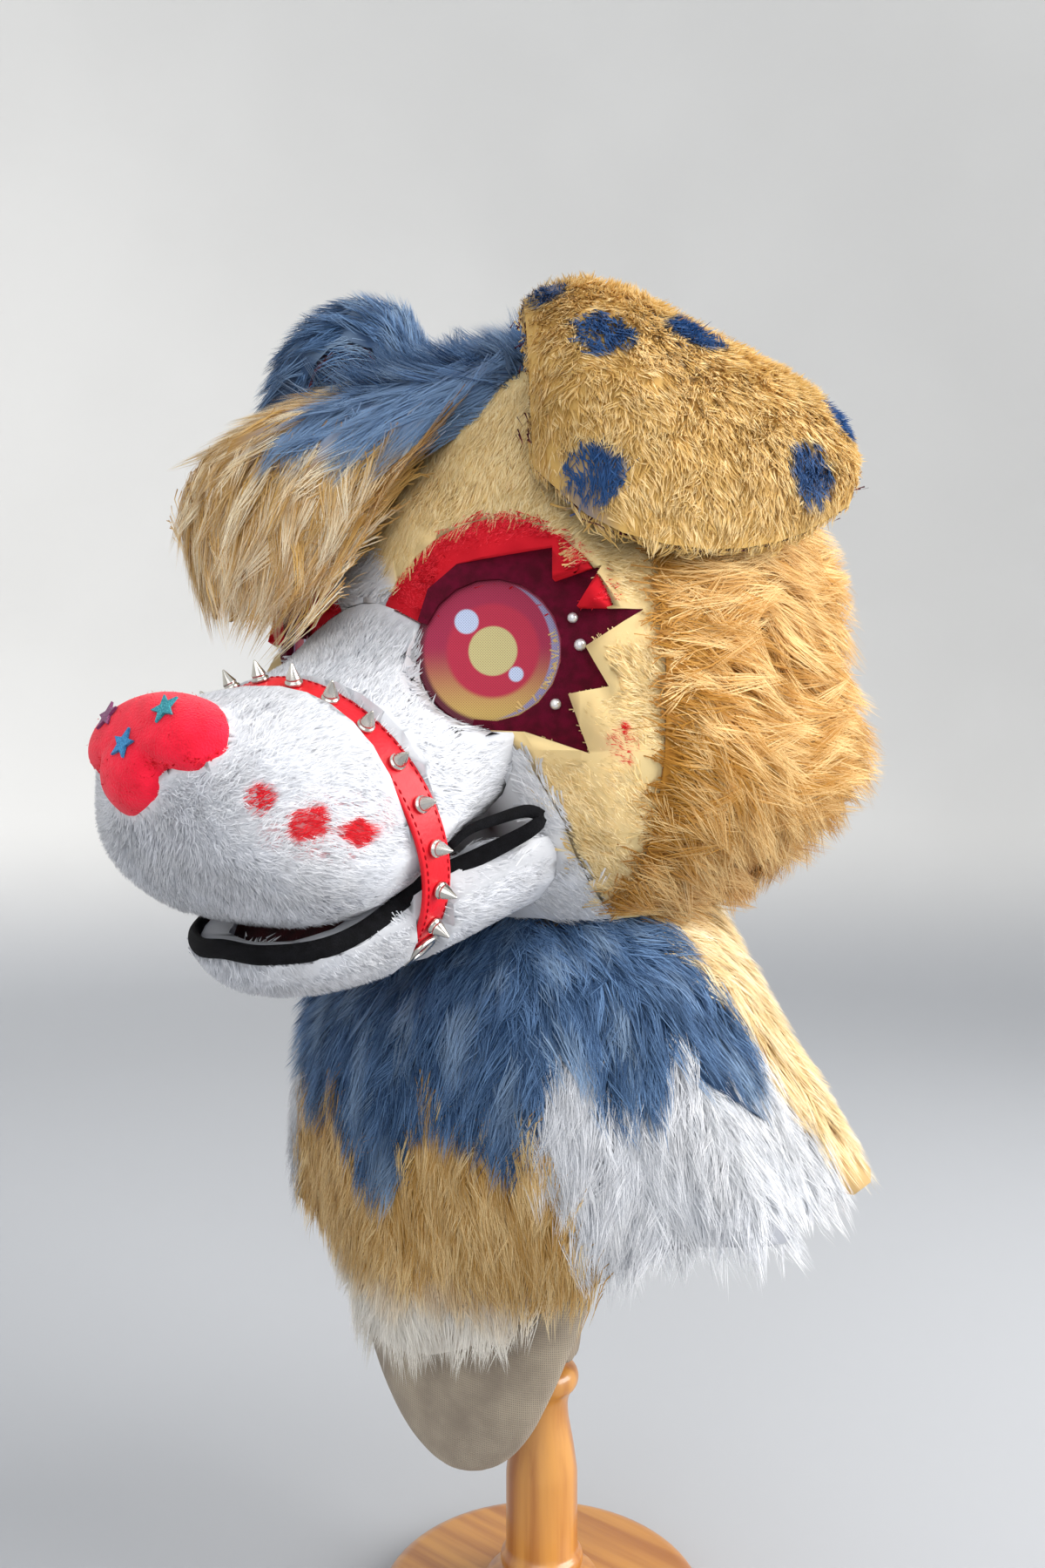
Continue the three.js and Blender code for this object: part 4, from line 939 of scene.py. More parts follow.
# From the middle of the jaw along its rim, round the corner of the mouth and a little way back.
LIP_HALF = [(0, -214, 398), (22, -211, 397), (44, -199, 400), (54, -183, 407), (61, -166, 419),
            (65, -152, 428), (75, -138, 436), (87, -127, 444), (95, -120, 450),
            (97, -115, 455), (93, -121, 458), (86, -135, 454), (81, -145, 450), (77, -153, 443)]
LIP_LINE = smooth_line([(-x, y, z) for x, y, z in LIP_HALF[:0:-1]] + LIP_HALF, 220)


def in_mouth_corner(points):
    """1 inside the opening behind each end of the lip, an upright oval on the white of the face. There the
    bare skin takes the dark mark colour of the white face fur, as painted shade of the opening.
    """
    return spots(both_sides([((74, -110, 447), (13, 14, 8))]), 0.12, 0.1)(points)


# %% Coats for the head
PLUSH = {"parts": 1, "each": 5, "spread": 4, "gather": 3, "width": 0.8, "pile": 3.5, "reach": 6.5,
         "stray": 0.5, "lock_stray": 0.35, "under": 0.45, "sparkle": 0.2, "beyond": 6, "edge_gap": 4.5,
         "rim": 0.6,
         "trim": clear_of_lids}
SHORT = {"parts": 2, "each": 7, "spread": 5, "gather": 2.5, "width": 0.85, "pile": 7, "reach": 14,
         "stray": 0.4, "lock_stray": 0.3, "under": 0.3, "sparkle": 0.15, "trim": clear_of_lids}
LONG = {"parts": 2, "each": 16, "spread": 8, "gather": 1.6, "width": 0.55, "pile": 9, "reach": 42,
        "lock_stray": 0.2, "sparkle": 0.15, "wave": 1.8}
CHEEK = {**LONG, "each": 22, "spread": 10, "pile": 14, "reach": 54, "wave": 4.5, "stray": 0.6,
         "lock_stray": 0.4, "beyond": 18, "lift": 13, "trim": clear_of_lids}
around_head = away_from((0, -5, 430), (0, -5, 600), 0.25)
around_cheek = away_from((0, -5, 400), (0, -5, 640), 0.1)


def fringe_blue_part(points):
    """The blue of the fringe: the locks above a line over the brow, but not those at its far end."""
    edge = 10 * ripple(points, 24, 13)
    return soft_step(points[:, 2] + edge, 610, 622) * soft_step(points[:, 0] + edge, -52, -40)


def spread_fringe(points):
    """Fan the inner locks of the fringe out over the bridge, more towards their tips."""
    aside = 28 * soft_step(-points[:, 2], -632, -560) * soft_step(points[:, 0], -80, -36)
    return points + np.stack([aside, -0.2 * aside, -0.2 * aside], -1)


def behind_lids(points):
    """The length of the cheek's fur: short beside the face, and full length further back."""
    return 0.22 + 0.78 * soft_step(points[:, 1], -78, -18)


def white_blaze(points):
    """Below 0 on the forehead, where a point of white runs up between the brows; above 0 on cheek spots."""
    return spots(CHEEK_SPOTS, 0.15)(points) - spots([((-6, -134, 558), (24, 26, 27))], 0.2, 0.15)(points)


def on_the_lip(points):
    """Places within a few millimetres of the lip's middle line, which carry no fur."""
    far = np.linalg.norm(points[:, None] - LIP_LINE[None, ::3], axis=2).min(1)
    return far < 7


# Each piece has its fur, its slot, a kind of coat, the faces that carry it, its lie and changes to the coat.
COATS = {
    "muzzle": (WHITE, "white_fur", PLUSH, away_from((0, -235, 470), (0, 0, 470), -0.1), lie_snout,
               {"hairs": 64000, "mark": spots(MUZZLE_SPOTS, 0.15), "bare": on_the_lip, "trim": under_strap,
                "length": lambda p: 1 + 1.3 * soft_step(p[:, 1], -152, -128)}),
    "jaw": (WHITE, "white_fur", PLUSH, away_from((0, -185, 432), (0, 0, 432), 0), lie_snout,
            {"hairs": 28000, "bare": on_the_lip, "beyond": 4, "trim": under_strap,
             "length": lambda p: 1 + 1.3 * soft_step(p[:, 1], -130, -105)}),
    "face_white": (FACE_WHITE, "white_fur", PLUSH, away_from((0, -5, 430), (0, -5, 600), -0.1), lie_face,
                   {"hairs": 24000, "beyond": 8, "reach": 9, "mark": in_mouth_corner,
                    "bare": lambda p: in_mouth_corner(p) > 0.4}),
    "head_back": (BACK_CREAM, "cream_fur", SHORT, around_head, lie_back,
                  {"hairs": 15000, "pile": 10, "reach": 26, "width": 1.1}),
    "fringe_gold": (FRINGE_GOLD, "gold_fur", LONG, any_way, lie_fringe,
                    {"hairs": 22000, "reach": 70, "each": 30, "spread": 9, "gather": 1.4, "wave": 2.5,
                     "lift": 4, "beyond": 46, "pile": 6, "mark": fringe_blue_part,
                     "crowd": lambda p: 1 + 2.5 * soft_step(-p[:, 2], -610, -570), "trim": spread_fringe,
                     "further": lambda p: 0.4 + 0.6 * soft_step(p[:, 0], -80, -40)}),
    "fringe_blue": (BLUE, "blue_fur", LONG, any_way, lie_fringe,
                    {"hairs": 12000, "pile": 8, "reach": 46, "beyond": 30, "lift": 18, "lock_stray": 0.45,
                     "mark": light_streaks}),
    "ear_left": (EAR_CREAM, "cream_fur", SHORT, any_way, lie_near_ear,
                 {"hairs": 24000, "pile": 4, "beyond": 9, "lift": 1.5, "swirl": 34, "lock_stray": 0.35,
                  "width": 0.75, "mark": spots(EAR_SPOTS, 0.1, 0.12)}),
    "ear_right": (BLUE, "blue_fur", LONG, any_way, lie_far_ear,
                  {"hairs": 12000, "reach": 28, "pile": 7, "beyond": 10, "lift": 4, "mark": light_streaks}),
    "ear_lining_left": (MAROON, "ear_lining", PLUSH, any_way, lie_near_ear,
                        {"hairs": 5000, "pile": 2.5, "beyond": -8}),
    "ear_lining_right": (MAROON, "ear_lining", PLUSH, any_way, lie_far_ear,
                         {"hairs": 5000, "pile": 2.5, "beyond": -8}),
}
for side in ("left", "right"):
    COATS["head_side_" + side] = (FACE_CREAM, "cream_fur", PLUSH, around_head, lie_face,
                                  {"hairs": 31000, "reach": 10, "mark": white_blaze, "skin_mark": 0.0})
    COATS["brow_" + side] = (RED, "red_plush", PLUSH, around_head, lie_face,
                             {"hairs": 12000, "reach": 6, "width": 0.7})
    COATS["cheek_" + side] = (CREAM, "cream_fur", CHEEK, around_cheek, lie_cheek,
                              {"hairs": 21000, "length": behind_lids})

# %% Head pieces: each skin and its hairs are one soft piece over foam


def joined(parts):
    """One set of points, faces and values from several, with the later faces counted on."""
    shift = np.cumsum([0] + [len(part[0]) for part in parts[:-1]])
    points = np.concatenate([part[0] for part in parts])
    faces = np.concatenate([part[1] + s for part, s in zip(parts, shift)])
    return points, faces, *(np.concatenate([part[k] for part in parts]) for k in (2, 3, 4))


def furred_piece(name, grown, material, stands_for):
    """A mesh of fur with the values strand and mark on its points."""
    points, faces, strand, mark, normals = grown
    piece = add_piece(name, points, [faces], material, stands_for)
    set_normals(piece, normals)
    set_values(piece, "strand", strand)
    set_values(piece, "mark", mark)
    return piece


for seed, (node, (material, slot, kind, faces, lie, own)) in enumerate(COATS.items()):
    made = grow(node, {**kind, "faces": faces, "lie_along": lie, **own}, seed + 20)
    piece = furred_piece(node + "_fur", joined([made["skin"], made["hair"]]), material, [node])

# %% [markdown]
# ## The bib
# The bib is cloth, so each panel's backing is a piece of its own, whose area is printed beside the area it
# was cut to, and its pile goes with it. The blue yoke ends in points that hang over the gold front and the
# white sides.

# %% Bib panels
# Each panel has its fur, the changes to its coat, and the size and area in metres that it was cut to.
around_neck = away_from((0, 0, -1000), (0, 0, 2000), 0.3)
PANELS = {
    "bib_yoke": (BLUE, "blue_fur", {"hairs": 30000, "beyond": 16, "lift": 7, "mark": light_streaks},
                 (0.60, 0.13), 0.042),
    "bib_front": (GOLD, "gold_fur", {"hairs": 15000, "beyond": 20, "mark": hem_frost}, (0.24, 0.13), 0.020),
}
WHITE_SIDE = (LONG_WHITE, "white_fur", {"hairs": 13000, "beyond": 24}, (0.24, 0.12), 0.013)
CREAM_BACK = (BACK_CREAM, "cream_fur", {"hairs": 12000, "beyond": 16}, (0.28, 0.22), 0.037)
for part, row in (("bib_side_", WHITE_SIDE), ("bib_back_", CREAM_BACK)):
    PANELS |= {part + side: row for side in ("left", "right")}
for seed, (node, (material, slot, own, cut, area)) in enumerate(PANELS.items()):
    coat = {**LONG, "faces": around_neck, "lie_along": lie_bib, "lift": 3, **own}
    made = grow(node, coat, seed + 60)
    cloth = furred_piece(node + "_cloth", made["skin"], material, [node])
    pile = furred_piece(node + "_pile", made["hair"], material, [])
    flat = made["skin"]
    size = face_facts(flat[0], flat[1])[1].sum() / 2 * MM**2
    print(f"{node}: backing {size:.4f} m2 of a cut {cut[0] * cut[1]:.4f}")

# %% [markdown]
# ## Hard and smooth parts
# The strap, its spikes and its buckle, the black lip, the nose, the eyes, the canvas form and the turned
# stand keep the frame's sizes, and get the round edges and fine steps that the real ones have.

# %% Finishes for the hard and smooth parts


def plain_material(name, light, dark, scale, rough, bump_by=0.0, **shader):
    """Two close colours mottled together, with a fine bump."""
    material, tree, principled, place = new_material(name, **shader)
    patches = mottled(tree, place, scale, 4.0)
    colour = mixed(tree, patches, linear(dark), linear(light))
    cover(tree, principled, colour, scaled(tree, patches, 0.12, rough))
    if bump_by:
        bump(tree, principled, mottled(tree, place, scale * 9, 3.0), bump_by, 0.0006)
    return material


LEATHER = plain_material("red_leather", 0xDC0C20, 0xC8081A, 70.0, 0.36, 0.1, Specular_IOR_Level=0.35)
THREAD = plain_material("dark_red_thread", 0xA00C1A, 0x860812, 400.0, 0.7, Specular_IOR_Level=0.1)
STEEL = plain_material("polished_steel", 0xD2CFC8, 0xB9B5AD, 60.0, 0.16, Metallic=1.0)
LIP_CLOTH = plain_material("black_lip_fleece", 0x131316, 0x08080A, 260.0, 0.75, 0.5, Specular_IOR_Level=0.1)
NOSE_PLUSH = plain_material("red_nose_minky", 0xEE1E3A, 0xDC1430, 120.0, 0.7, 0.5, Sheen_Weight=0.15,
                            Specular_IOR_Level=0.1)
LID_VELVET = plain_material("maroon_velvet", 0x5A0A24, 0x440618, 200.0, 0.8, 0.3, Specular_IOR_Level=0.1)
MOUTH_CLOTH = plain_material("dark_mouth_cloth", 0x4A1418, 0x2C0A0D, 150.0, 0.85, 0.4)
PEARL = plain_material("pearl_bead", 0xE4E2DE, 0xC9C8CC, 300.0, 0.12, Metallic=0.55, Coat_Weight=0.6)


def wood_material(name, squeeze):
    """Pine: long streaks from noise squeezed across the grain, over a slow warm change, under varnish."""
    material, tree, principled, place = new_material(name, Coat_Weight=0.5, Coat_Roughness=0.15)
    grain = put(tree, "ShaderNodeMapping", {"Vector": place, "Scale": squeeze}).outputs[0]
    streak, slow = mottled(tree, grain, 1.6, 5.0), mottled(tree, place, 14.0, 1.0)
    colour = mixed(tree, streak, linear(0x9A5C20), linear(0xC48A40))
    colour = mixed(tree, math_node(tree, "MULTIPLY", slow, 0.25), colour, linear(0xA96C2C))
    cover(tree, principled, colour, scaled(tree, streak, 0.1, 0.32))
    bump(tree, principled, streak, 0.12, 0.0004)
    return material


def canvas_material():
    """Greige linen: a plain weave, with slubs from noise."""
    material, tree, principled, place = new_material("greige_canvas", Sheen_Weight=0.1)
    threads = use_group(tree, WEAVE, {"Position": place, "Threads": 5200.0})[0]
    slubs = mottled(tree, place, 40.0, 5.0)
    colour = mixed(tree, slubs, linear(0x857868), linear(0xA59884))
    colour = mixed(tree, ramped(tree, threads, -0.6, 0.4), linear(0x74685A), colour)
    cover(tree, principled, colour, scaled(tree, slubs, 0.1, 0.82))
    bump(tree, principled, threads, 0.35, 0.0004)
    return material


POST_WOOD = wood_material("upright_varnished_pine", (60.0, 60.0, 3.0))
BASE_WOOD = wood_material("flat_varnished_pine", (3.0, 60.0, 60.0))
CANVAS = canvas_material()

# %% The turned stand
BASE_RADIUS, BASE_THICK, POST_RADIUS = 92, 20, 20
BASE_PROFILE = [(0.5, 0), (BASE_RADIUS - 3, 0), (BASE_RADIUS, 3), (BASE_RADIUS, BASE_THICK - 7),
                (BASE_RADIUS - 3, BASE_THICK - 2), (BASE_RADIUS - 8, BASE_THICK), (0.5, BASE_THICK)]
POST_PROFILE = [(0.5, 20.3), (33, 20.3), (33, 24), (30, 28), (21, 31), (23, 35), (23, 40), (POST_RADIUS, 43),
                (POST_RADIUS, 86), (18, 100), (15, 116), (14.5, 124), (16, 130), (20, 134), (21, 139),
                (19, 144), (13, 147), (13, 210), (0.5, 210)]
for node, profile, cut, wood in (
    ("stand_base", BASE_PROFILE, 2.5, BASE_WOOD),
    ("stand_post", POST_PROFILE, 3, POST_WOOD),
):
    points, faces = closed_tube(spun(eased(profile, cut), 72))
    add_piece(node + "_turned", points, faces, wood, [node])

# %% The canvas form: the frame's solid, rounded by subdivision and cast back out to its own size


def rounded_copy(node, name, material, levels, swell):
    """The solid with its faces split and averaged, then moved out by swell to make up what rounding took."""
    points, triangles = solid(node)
    piece = add_piece(name, points, [triangles], material, [node])
    smooth = piece.modifiers.new("Round", "SUBSURF")
    smooth.levels = smooth.render_levels = levels
    graph = bpy.context.evaluated_depsgraph_get()
    fine = bpy.data.meshes.new_from_object(piece.evaluated_get(graph))
    piece.modifiers.clear()
    piece.data = fine
    out = np.empty(len(fine.vertices) * 3, np.float32)
    place = np.empty_like(out)
    fine.vertex_normals.foreach_get("vector", out)
    fine.vertices.foreach_get("co", place)
    fine.vertices.foreach_set("co", place + out * swell * MM)
    return piece


form = rounded_copy("canvas_form", "canvas_form_cover", CANVAS, 2, 0.6)

# %% The strap: a rounded band along a tilted ring


def strap_point(angle, out, along):
    """Round an ellipse in a plane tilted back: out is away from its middle, along is across the band."""
    x, up = (STRAP["half_x"] + out) * np.sin(angle), (STRAP["half_z"] + out) * np.cos(angle)
    return out_of_strap(x, up, along)


def band_section(width, thick, count, power=5):
    """A rounded box outline: cosine and sine raised to 2 / power, times half the width and thickness."""
    turn = np.linspace(0, 2 * np.pi, count, endpoint=False)
    c, s = np.cos(turn), np.sin(turn)
    wide, high = (np.sign(v) * np.abs(v) ** (2 / power) / 2 for v in (c, s))
    return wide * width, high * thick


turn = np.linspace(0, 2 * np.pi, 180, endpoint=False)[:, None]
across, out = band_section(STRAP["width"], STRAP["thick"], 28)
points, faces = closed_tube(strap_point(turn, out[None], across[None]), closed=True)
add_piece("strap_leather", points, faces, LEATHER, ["muzzle_strap"])

# %% Stitches: short ovals of thread in two rows
STITCH = {"pitch": 3.9, "long": 1.35, "thick": 0.42, "edge": 2.0}


def small_ball(rings, sides):
    """Points and faces of a ball of radius 1 with its poles closed."""
    lift = np.linspace(-1, 1, rings + 2)[1:-1] * np.pi / 2
    return closed_tube(spun(np.stack([np.cos(lift), np.sin(lift)], -1), sides))


def repeated(points, faces, places, axes, sizes):
    """Copies of a shape: each is scaled along three axes and moved, all as one array."""
    stretched = points[None] * np.asarray(sizes, float).reshape(-1, 1, 3)
    copies = np.einsum("npk,nkj->npj", np.broadcast_to(stretched, (len(places), *points.shape)), axes)
    shift = np.arange(len(places))[:, None, None] * len(points)
    moved = (copies + places[:, None]).reshape(-1, 3)
    return moved, [(f[None] + shift).reshape(-1, f.shape[1]) for f in faces]


round_length = np.pi * (STRAP["half_x"] + STRAP["half_z"])
angles = np.linspace(0, 2 * np.pi, int(round_length / STITCH["pitch"]), endpoint=False)
rows = []
for row in (-1, 1):
    offset = row * (STRAP["width"] / 2 - STITCH["edge"])
    here = strap_point(angles, STRAP["thick"] / 2, offset)
    ahead = unit(strap_point(angles + 0.01, STRAP["thick"] / 2, offset) - here)
    out = unit(strap_point(angles, STRAP["thick"] / 2 + 1, offset) - here)
    rows.append((here, np.stack([ahead, np.cross(out, ahead), out], 1)))
places, axes = (np.concatenate([row[k] for row in rows]) for k in (0, 1))
ball = small_ball(3, 6)
points, faces = repeated(*ball, places, axes, (STITCH["long"], STITCH["thick"], STITCH["thick"]))
add_piece("strap_stitches", points, faces, THREAD)
print("stitches:", len(places))

# %% Spikes and buckle
SPIKE = {"count": 17, "pitch": 20.7, "height": 10, "radius": 4}
SPIKE_PROFILE = [(0.05, 0), (SPIKE["radius"], 0), (SPIKE["radius"], 1.4), (SPIKE["radius"] - 1, 2.2),
                 (SPIKE["radius"] - 0.6, 3), (0.5, SPIKE["height"] - 0.3), (0.05, SPIKE["height"])]
spike_points, spike_faces = closed_tube(spun(eased(SPIKE_PROFILE, 0.4, 4), 28))
step = 2 * np.pi * SPIKE["pitch"] / round_length
for i in range(SPIKE["count"]):
    angle = np.array([(i - (SPIKE["count"] - 1) / 2) * step])
    foot = strap_point(angle, STRAP["thick"] / 2 + 0.3, 0.0)
    up = unit(strap_point(angle, STRAP["thick"] / 2 + SPIKE["height"], 0.0) - foot)
    right = unit(np.cross(up, (0.3, 1, 0.2)))
    axes = np.stack([right, np.cross(up, right), up], 1)
    points, faces = repeated(spike_points, spike_faces, foot, axes, (1, 1, 1))
    node = f"spike_{i + 1:02d}"
    add_piece(node + "_turned", points, facing_out(points - foot, faces), STEEL, [node])

BUCKLE = {"angle": 141, "half_angle": 6, "half_width": 6.4, "wire": 1.5}
corners = np.array([(-1, -1), (0, -1), (1, -1), (1, 0), (1, 1), (0, 1), (-1, 1), (-1, 0)], float)
corners /= np.sqrt(np.linalg.norm(corners, axis=1, keepdims=True))
ring = strap_point(
    np.radians(BUCKLE["angle"] + BUCKLE["half_angle"] * corners[:, 0]),
    STRAP["thick"] / 2 + BUCKLE["wire"] + 0.3,
    BUCKLE["half_width"] * corners[:, 1],
)


def wire(line, radius_side, radius_up, sides, up, closed=False):
    """A bar along a line: at each place an oval across the run, one radius sideways and one upwards."""
    run = unit(np.roll(line, -1, 0) - np.roll(line, 1, 0)) if closed else unit(np.gradient(line, axis=0))
    side = unit(np.cross(run, up))
    rise = np.cross(side, run)
    turn = np.linspace(0, 2 * np.pi, sides, endpoint=False)[None, :, None]
    radii = (np.broadcast_to(np.asarray(r, float), (len(line),)) for r in (radius_side, radius_up))
    wide, high = (r[:, None, None] for r in radii)
    rings = line[:, None] + side[:, None] * np.cos(turn) * wide + rise[:, None] * np.sin(turn) * high
    return closed_tube(rings, closed)


middle = unit(ring.mean(0) - (0, STRAP["y"], STRAP["z"]))
points, faces = wire(smooth_line(ring, 72, True), BUCKLE["wire"], BUCKLE["wire"], 12, middle, True)
add_piece("strap_buckle_ring", points, faces, STEEL, ["strap_buckle"])

# %% The black lip: a stuffed tube on the jaw's rim, pressed flat under the strap
along = np.linspace(0, 1, len(LIP_LINE))
taper = np.minimum(1, 0.42 + 2.6 * np.minimum(along, 1 - along))
points, faces = wire(LIP_LINE, LIP_DEEP / 2 * taper, LIP_HIGH / 2 * taper, 20, np.array([0, 0, 1.0]))


def lip_under_strap(points):
    """Where the lip lies below the band's width, bring its points in to just inside the strap."""
    x, up, along = in_strap(points)
    ring = np.hypot(x / STRAP["half_x"], up / STRAP["half_z"])
    limit = 1 - 2.2 / STRAP["half_z"]
    press = 1 - soft_step(np.abs(along), STRAP["width"] / 2 + 0.5, STRAP["width"] / 2 + 4)
    shrink = 1 - press * (1 - np.minimum(1, limit / np.maximum(ring, 1e-6)))
    return out_of_strap(x * shrink, up * shrink, along)


lip = add_piece("lip_tube", lip_under_strap(points), faces, LIP_CLOTH, ["lip"])

# %% The nose: a dome over a three-lobed outline with a notch for each nostril
NOSE = {"y": -244, "z": 484, "half_wide": 44, "half_high": 28, "tilt": math.radians(24)}
NOSE_LAYERS = [{"row": i, "size": size, "deep": deep} for i, (size, deep) in enumerate(
    [(0.86, -14), (1, -2), (0.98, 6), (0.86, 13), (0.62, 18.5), (0.3, 20.6), (0.02, 21)])]


def nose_outline(angle):
    """Sine and cosine of the angle times half the width and height, drawn in at both nostrils."""
    s, c = np.sin(angle), np.cos(angle)
    notch = 1 - 0.2 * np.exp(-(((np.abs(angle) - 2.25) / 0.2) ** 2))
    wide = NOSE["half_wide"] * np.where(c > 0, 1, 1 - 0.42 * c * c)
    return wide * s * notch, NOSE["half_high"] * c * np.where(c > 0, 0.86, 1.12) * notch


def place_on_nose(points):
    """Tilt back about the width, then move to the end of the muzzle."""
    c, s = math.cos(NOSE["tilt"]), math.sin(NOSE["tilt"])
    x, y, z = points[..., 0], points[..., 1], points[..., 2]
    return np.stack([x, y * c + z * s + NOSE["y"], -y * s + z * c + NOSE["z"]], -1)


angle = np.linspace(-np.pi, np.pi, 96, endpoint=False)[None]
rows = np.linspace(0, 6, 37)[:, None]
x, up = nose_outline(angle)
size, deep = (column(NOSE_LAYERS, "row", name, rows) for name in ("size", "deep"))
nose_rings = place_on_nose(np.stack(np.broadcast_arrays(x * size, -deep, up * size), -1))
points, faces = closed_tube(nose_rings)
nose = add_piece("nose_plush", points, faces, NOSE_PLUSH, ["nose"])
NOSE_NAP = {**PLUSH, "hairs": 9000, "pile": 1.5, "reach": 3, "width": 0.6, "beyond": 0,
            "faces": any_way, "lie_along": lie_snout}
furred_piece("nose_nap", grow("nose", NOSE_NAP, 90)["hair"], RED, [])

# %% [markdown]
# ## Eyes and lids
# Each eye is a printed mesh disc. Its print here is a plain round iris and pupil, made from the disc's own
# polar coordinates, and a fine grid of holes goes over it. The lids are flat velvet with pearl beads.

# %% Eye discs


# Where each colour of the print gives way to the next, in shares of the disc's radius. The crescent lies
# outside a circle round a place beside the middle, and inside the rim.
EYE_PRINT = {"pupil": (0.3, 0.33), "inner": (0.56, 0.64), "rim": (0.86, 0.93),
             "beside": (-0.16, 0.02, 0), "outside": (0.9, 0.93), "inside": (0.88, 0.85)}
EYE_LIGHTS = [((-0.34, 0.38, 0), 0.17), ((0.3, -0.3, 0), 0.11)]
MESH_THREADS, MESH_HOLES = 180.0, (0.1, 0.75)


def away(tree, flat, place):
    """How far each point of the disc lies from a place on it."""
    return put(tree, "ShaderNodeVectorMath", {0: flat, 1: place}, operation="DISTANCE").outputs["Value"]


def eye_material():
    """Rings of colour by distance from the middle, warmer low down, with a grid of holes and a highlight."""
    material, tree, principled, _ = new_material("printed_eye_mesh", Specular_IOR_Level=0.3)
    flat = put(tree, "ShaderNodeAttribute", attribute_name="disc").outputs["Vector"]
    x, y, _ = put(tree, "ShaderNodeSeparateXYZ", {0: flat}).outputs
    radius = put(tree, "ShaderNodeVectorMath", {0: flat}, operation="LENGTH").outputs["Value"]
    warm = ramped(tree, math_node(tree, "MULTIPLY", y, -1.0), -0.1, 0.95)
    iris = mixed(tree, warm, linear(0x9A1840), linear(0xC2A358))
    inner = mixed(tree, ramped(tree, radius, *EYE_PRINT["inner"]), linear(0xB01C3C), iris)
    pupil = mixed(tree, ramped(tree, radius, *EYE_PRINT["pupil"]), linear(0xBFB27C), inner)
    colour = mixed(tree, ramped(tree, radius, *EYE_PRINT["rim"]), pupil, linear(0x5A1026))
    for place, size in EYE_LIGHTS:
        spot = ramped(tree, away(tree, flat, place), size, size - 0.03)
        colour = mixed(tree, spot, colour, linear(0xB7C3DE))
    outside = ramped(tree, away(tree, flat, EYE_PRINT["beside"]), *EYE_PRINT["outside"])
    crescent = math_node(tree, "MULTIPLY", outside, ramped(tree, radius, *EYE_PRINT["inside"]))
    colour = mixed(tree, crescent, colour, linear(0x8E86A8))
    rows = [math_node(tree, "SINE", math_node(tree, "MULTIPLY", c, MESH_THREADS)) for c in (x, y)]
    holes = ramped(tree, math_node(tree, "MULTIPLY", *rows), *MESH_HOLES)
    colour = mixed(tree, math_node(tree, "MULTIPLY", holes, 0.55), colour, linear(0x1A0710))
    cover(tree, principled, colour, scaled(tree, holes, 0.2, 0.5))
    bump(tree, principled, holes, -0.4, 0.0004)
    return material


EYE_MESH = eye_material()
turn = np.linspace(0, 2 * np.pi, 96, endpoint=False)[None]
EYE_PROFILE = np.array([(0.02, -3.0), (1, -3.0), (1, -0.3), (0.97, -0.35),
                        (0.8, -1.0), (0.5, -1.6), (0.2, -1.9), (0.02, -1.95)])
for side, name in ((1, "left"), (-1, "right")):
    axes, middle = eye_axes(side)
    share, high = (EYE_PROFILE[:, k][:, None] for k in (0, 1))
    local = np.stack(np.broadcast_arrays(share * np.cos(turn), share * np.sin(turn), high), -1)
    rings = (local * (EYE["radius"], EYE["radius"], 1)) @ axes + middle
    points, faces = closed_tube(rings)
    eye = add_piece(f"eye_{name}_mesh", points, faces, EYE_MESH, [f"eye_{name}"])
    flat = np.vstack([local.reshape(-1, 3), [(0, 0, 0), (0, 0, 0)]]) * (1, 1, 0)
    set_values(eye, "disc", flat)

# %% Pearl beads on the lids
PEARLS = [(20, 40, 2.4), (2, 41, 2.8), (-40, 39, 2.6)]
for side, name in ((1, "left"), (-1, "right")):
    axes, middle = eye_axes(side)
    at = np.array([(r * math.cos(math.radians(a)), r * math.sin(math.radians(a)), 3.2 + size * 0.6)
                   for a, r, size in PEARLS])
    sizes = np.array([(size,) * 3 for _, _, size in PEARLS])
    frames = np.broadcast_to(np.eye(3), (len(PEARLS), 3, 3))
    points, faces = repeated(*small_ball(9, 18), at @ axes + middle, frames, sizes)
    add_piece(f"lid_pearls_{name}", points, faces, PEARL)

# %% Finishes of the frame's own pieces


def star_material(name, light, dark):
    """Glitter felt: bright specks from a fine cell pattern."""
    material, tree, principled, place = new_material(name, Metallic=0.3)
    specks = put(tree, "ShaderNodeTexVoronoi", {"Vector": place, "Scale": 1800.0}).outputs["Distance"]
    colour = mixed(tree, ramped(tree, specks, 0.1, 0.6), linear(light), linear(dark))
    cover(tree, principled, colour, scaled(tree, specks, 0.4, 0.25))
    bump(tree, principled, specks, 0.4, 0.0003)
    return material


def finish_node(node, material):
    """Give a frame piece its material."""
    slots = frame["nodes"][node].data.materials
    slots.clear()
    slots.append(material)


STARS = [
    ("purple_star", 0x9A5A86, 0x6E2F5C),
    ("blue_star", 0x3FA9D8, 0x1C6FA6),
    ("teal_star", 0x4FC0C8, 0x23808E),
]
for i, (name, light, dark) in enumerate(STARS):
    finish_node(f"nose_star_{i + 1}", star_material(name, light, dark))
for node in ("lid_left", "lid_right"):
    finish_node(node, LID_VELVET)
finish_node("mouth_floor", MOUTH_CLOTH)

# %% [markdown]
# ## The studio
# A pale floor that curves up into a wall, a large soft light from the right, and a wide fill. The camera
# stands at the eye height of the photograph and looks level.

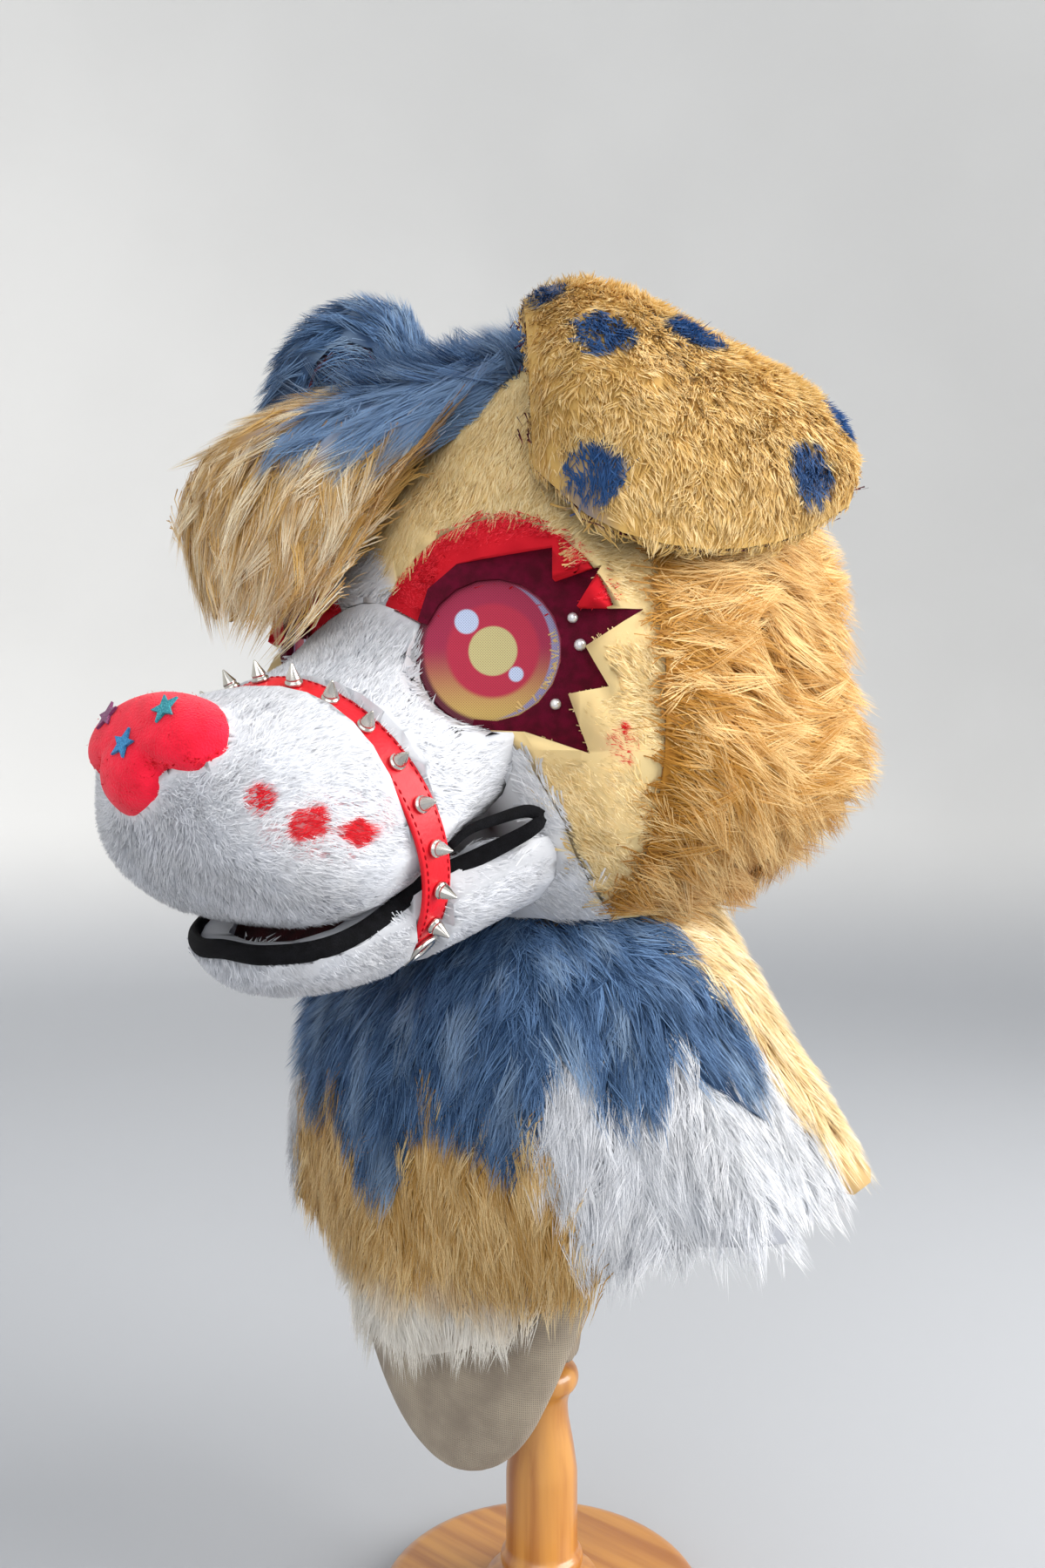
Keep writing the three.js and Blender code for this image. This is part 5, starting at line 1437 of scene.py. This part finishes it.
# %% Floor and wall
FLOOR = [(0.1, -0.4), (1900, -0.4), (2300, 60), (2600, 360), (2700, 900), (2700, 3400)]
stage_material, tree, principled, place = new_material("studio_paint", Roughness=0.9)
paint = mixed(tree, mottled(tree, place, 1.5, 2.0), linear(0xDEDDDB), linear(0xE3E2E0))
height = put(tree, "ShaderNodeSeparateXYZ", {0: place}).outputs[2]
paint = mixed(tree, ramped(tree, height, 0.0, 0.4), linear(0xABADB1), paint)
tree.links.new(paint, principled.inputs["Base Color"])
rings = spun(eased(FLOOR, 300, 12), 96)
faces = [tube_faces(*rings.shape[:2])[:, ::-1]]
mesh_object("studio_sweep", rings.reshape(-1, 3), faces, stage_material)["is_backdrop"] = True

# %% Camera at the photograph's angle
AZIMUTH = math.radians(41)
DISTANCE, HEIGHT, ASIDE, LENS = 0.720, 0.470, -0.0108, 29.44
right = np.array([math.cos(AZIMUTH), math.sin(AZIMUTH), 0])
ahead = np.array([-math.sin(AZIMUTH), math.cos(AZIMUTH), 0])
camera_data = bpy.data.cameras.new("camera")
camera_data.lens, camera_data.sensor_width = LENS, 36
camera = bpy.data.objects.new("camera", camera_data)
camera.location = (-ahead * DISTANCE + right * ASIDE + (0, 0, HEIGHT)).tolist()
camera.rotation_euler = (math.pi / 2, 0, AZIMUTH)
bpy.context.scene.collection.objects.link(camera)
bpy.context.scene.camera = camera

# %% Lights


def soft_light(name, place, target, size, power, colour, spread):
    """A square area light that looks at a target and spreads its light over an angle in degrees."""
    data = bpy.data.lights.new(name, "AREA")
    data.size, data.energy, data.color, data.spread = size, power, colour, math.radians(spread)
    light = bpy.data.objects.new(name, data)
    aim = unit(np.array(target, float) - place)
    light.location = np.asarray(place).tolist()
    pitch = math.acos(-aim[2])
    light.rotation_euler = (pitch, 0, math.atan2(-aim[0], aim[1]) if pitch > 1e-6 else 0)
    bpy.context.scene.collection.objects.link(light)


MIDDLE = np.array([0, 0, 0.45])
LIGHTS = [
    {"name": "window", "right": 2.0, "ahead": -0.5, "up": 0.95, "size": 2.0, "power": 45,
     "colour": (1.0, 0.985, 0.96), "spread": 110},
    {"name": "front_fill", "right": -0.3, "ahead": -2.0, "up": 0.7, "size": 1.8, "power": 22,
     "colour": (0.95, 0.97, 1.0), "spread": 180},
]
for row in LIGHTS:
    place = MIDDLE + right * row["right"] + ahead * row["ahead"] + (0, 0, row["up"])
    soft_light(row["name"], place, MIDDLE, row["size"], row["power"], row["colour"], row["spread"])
world = bpy.data.worlds.new("studio_air")
world.use_nodes = True
AIR = {"Color": linear(0xEEF1F4), "Strength": 1.2}
for name, value in AIR.items():
    world.node_tree.nodes["Background"].inputs[name].default_value = value
bpy.context.scene.world = world
bpy.context.scene.view_settings.view_transform = "Standard"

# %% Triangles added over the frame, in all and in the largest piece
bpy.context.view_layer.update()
for piece in bpy.context.scene.objects:
    if piece.type == "MESH":
        piece.data.calc_loop_triangles()
added = {o.name: len(o.data.loop_triangles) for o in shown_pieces() if o.name not in frame["nodes"]}
print("triangles added:", sum(added.values()), "and at most", max(added.values()), "in a piece")
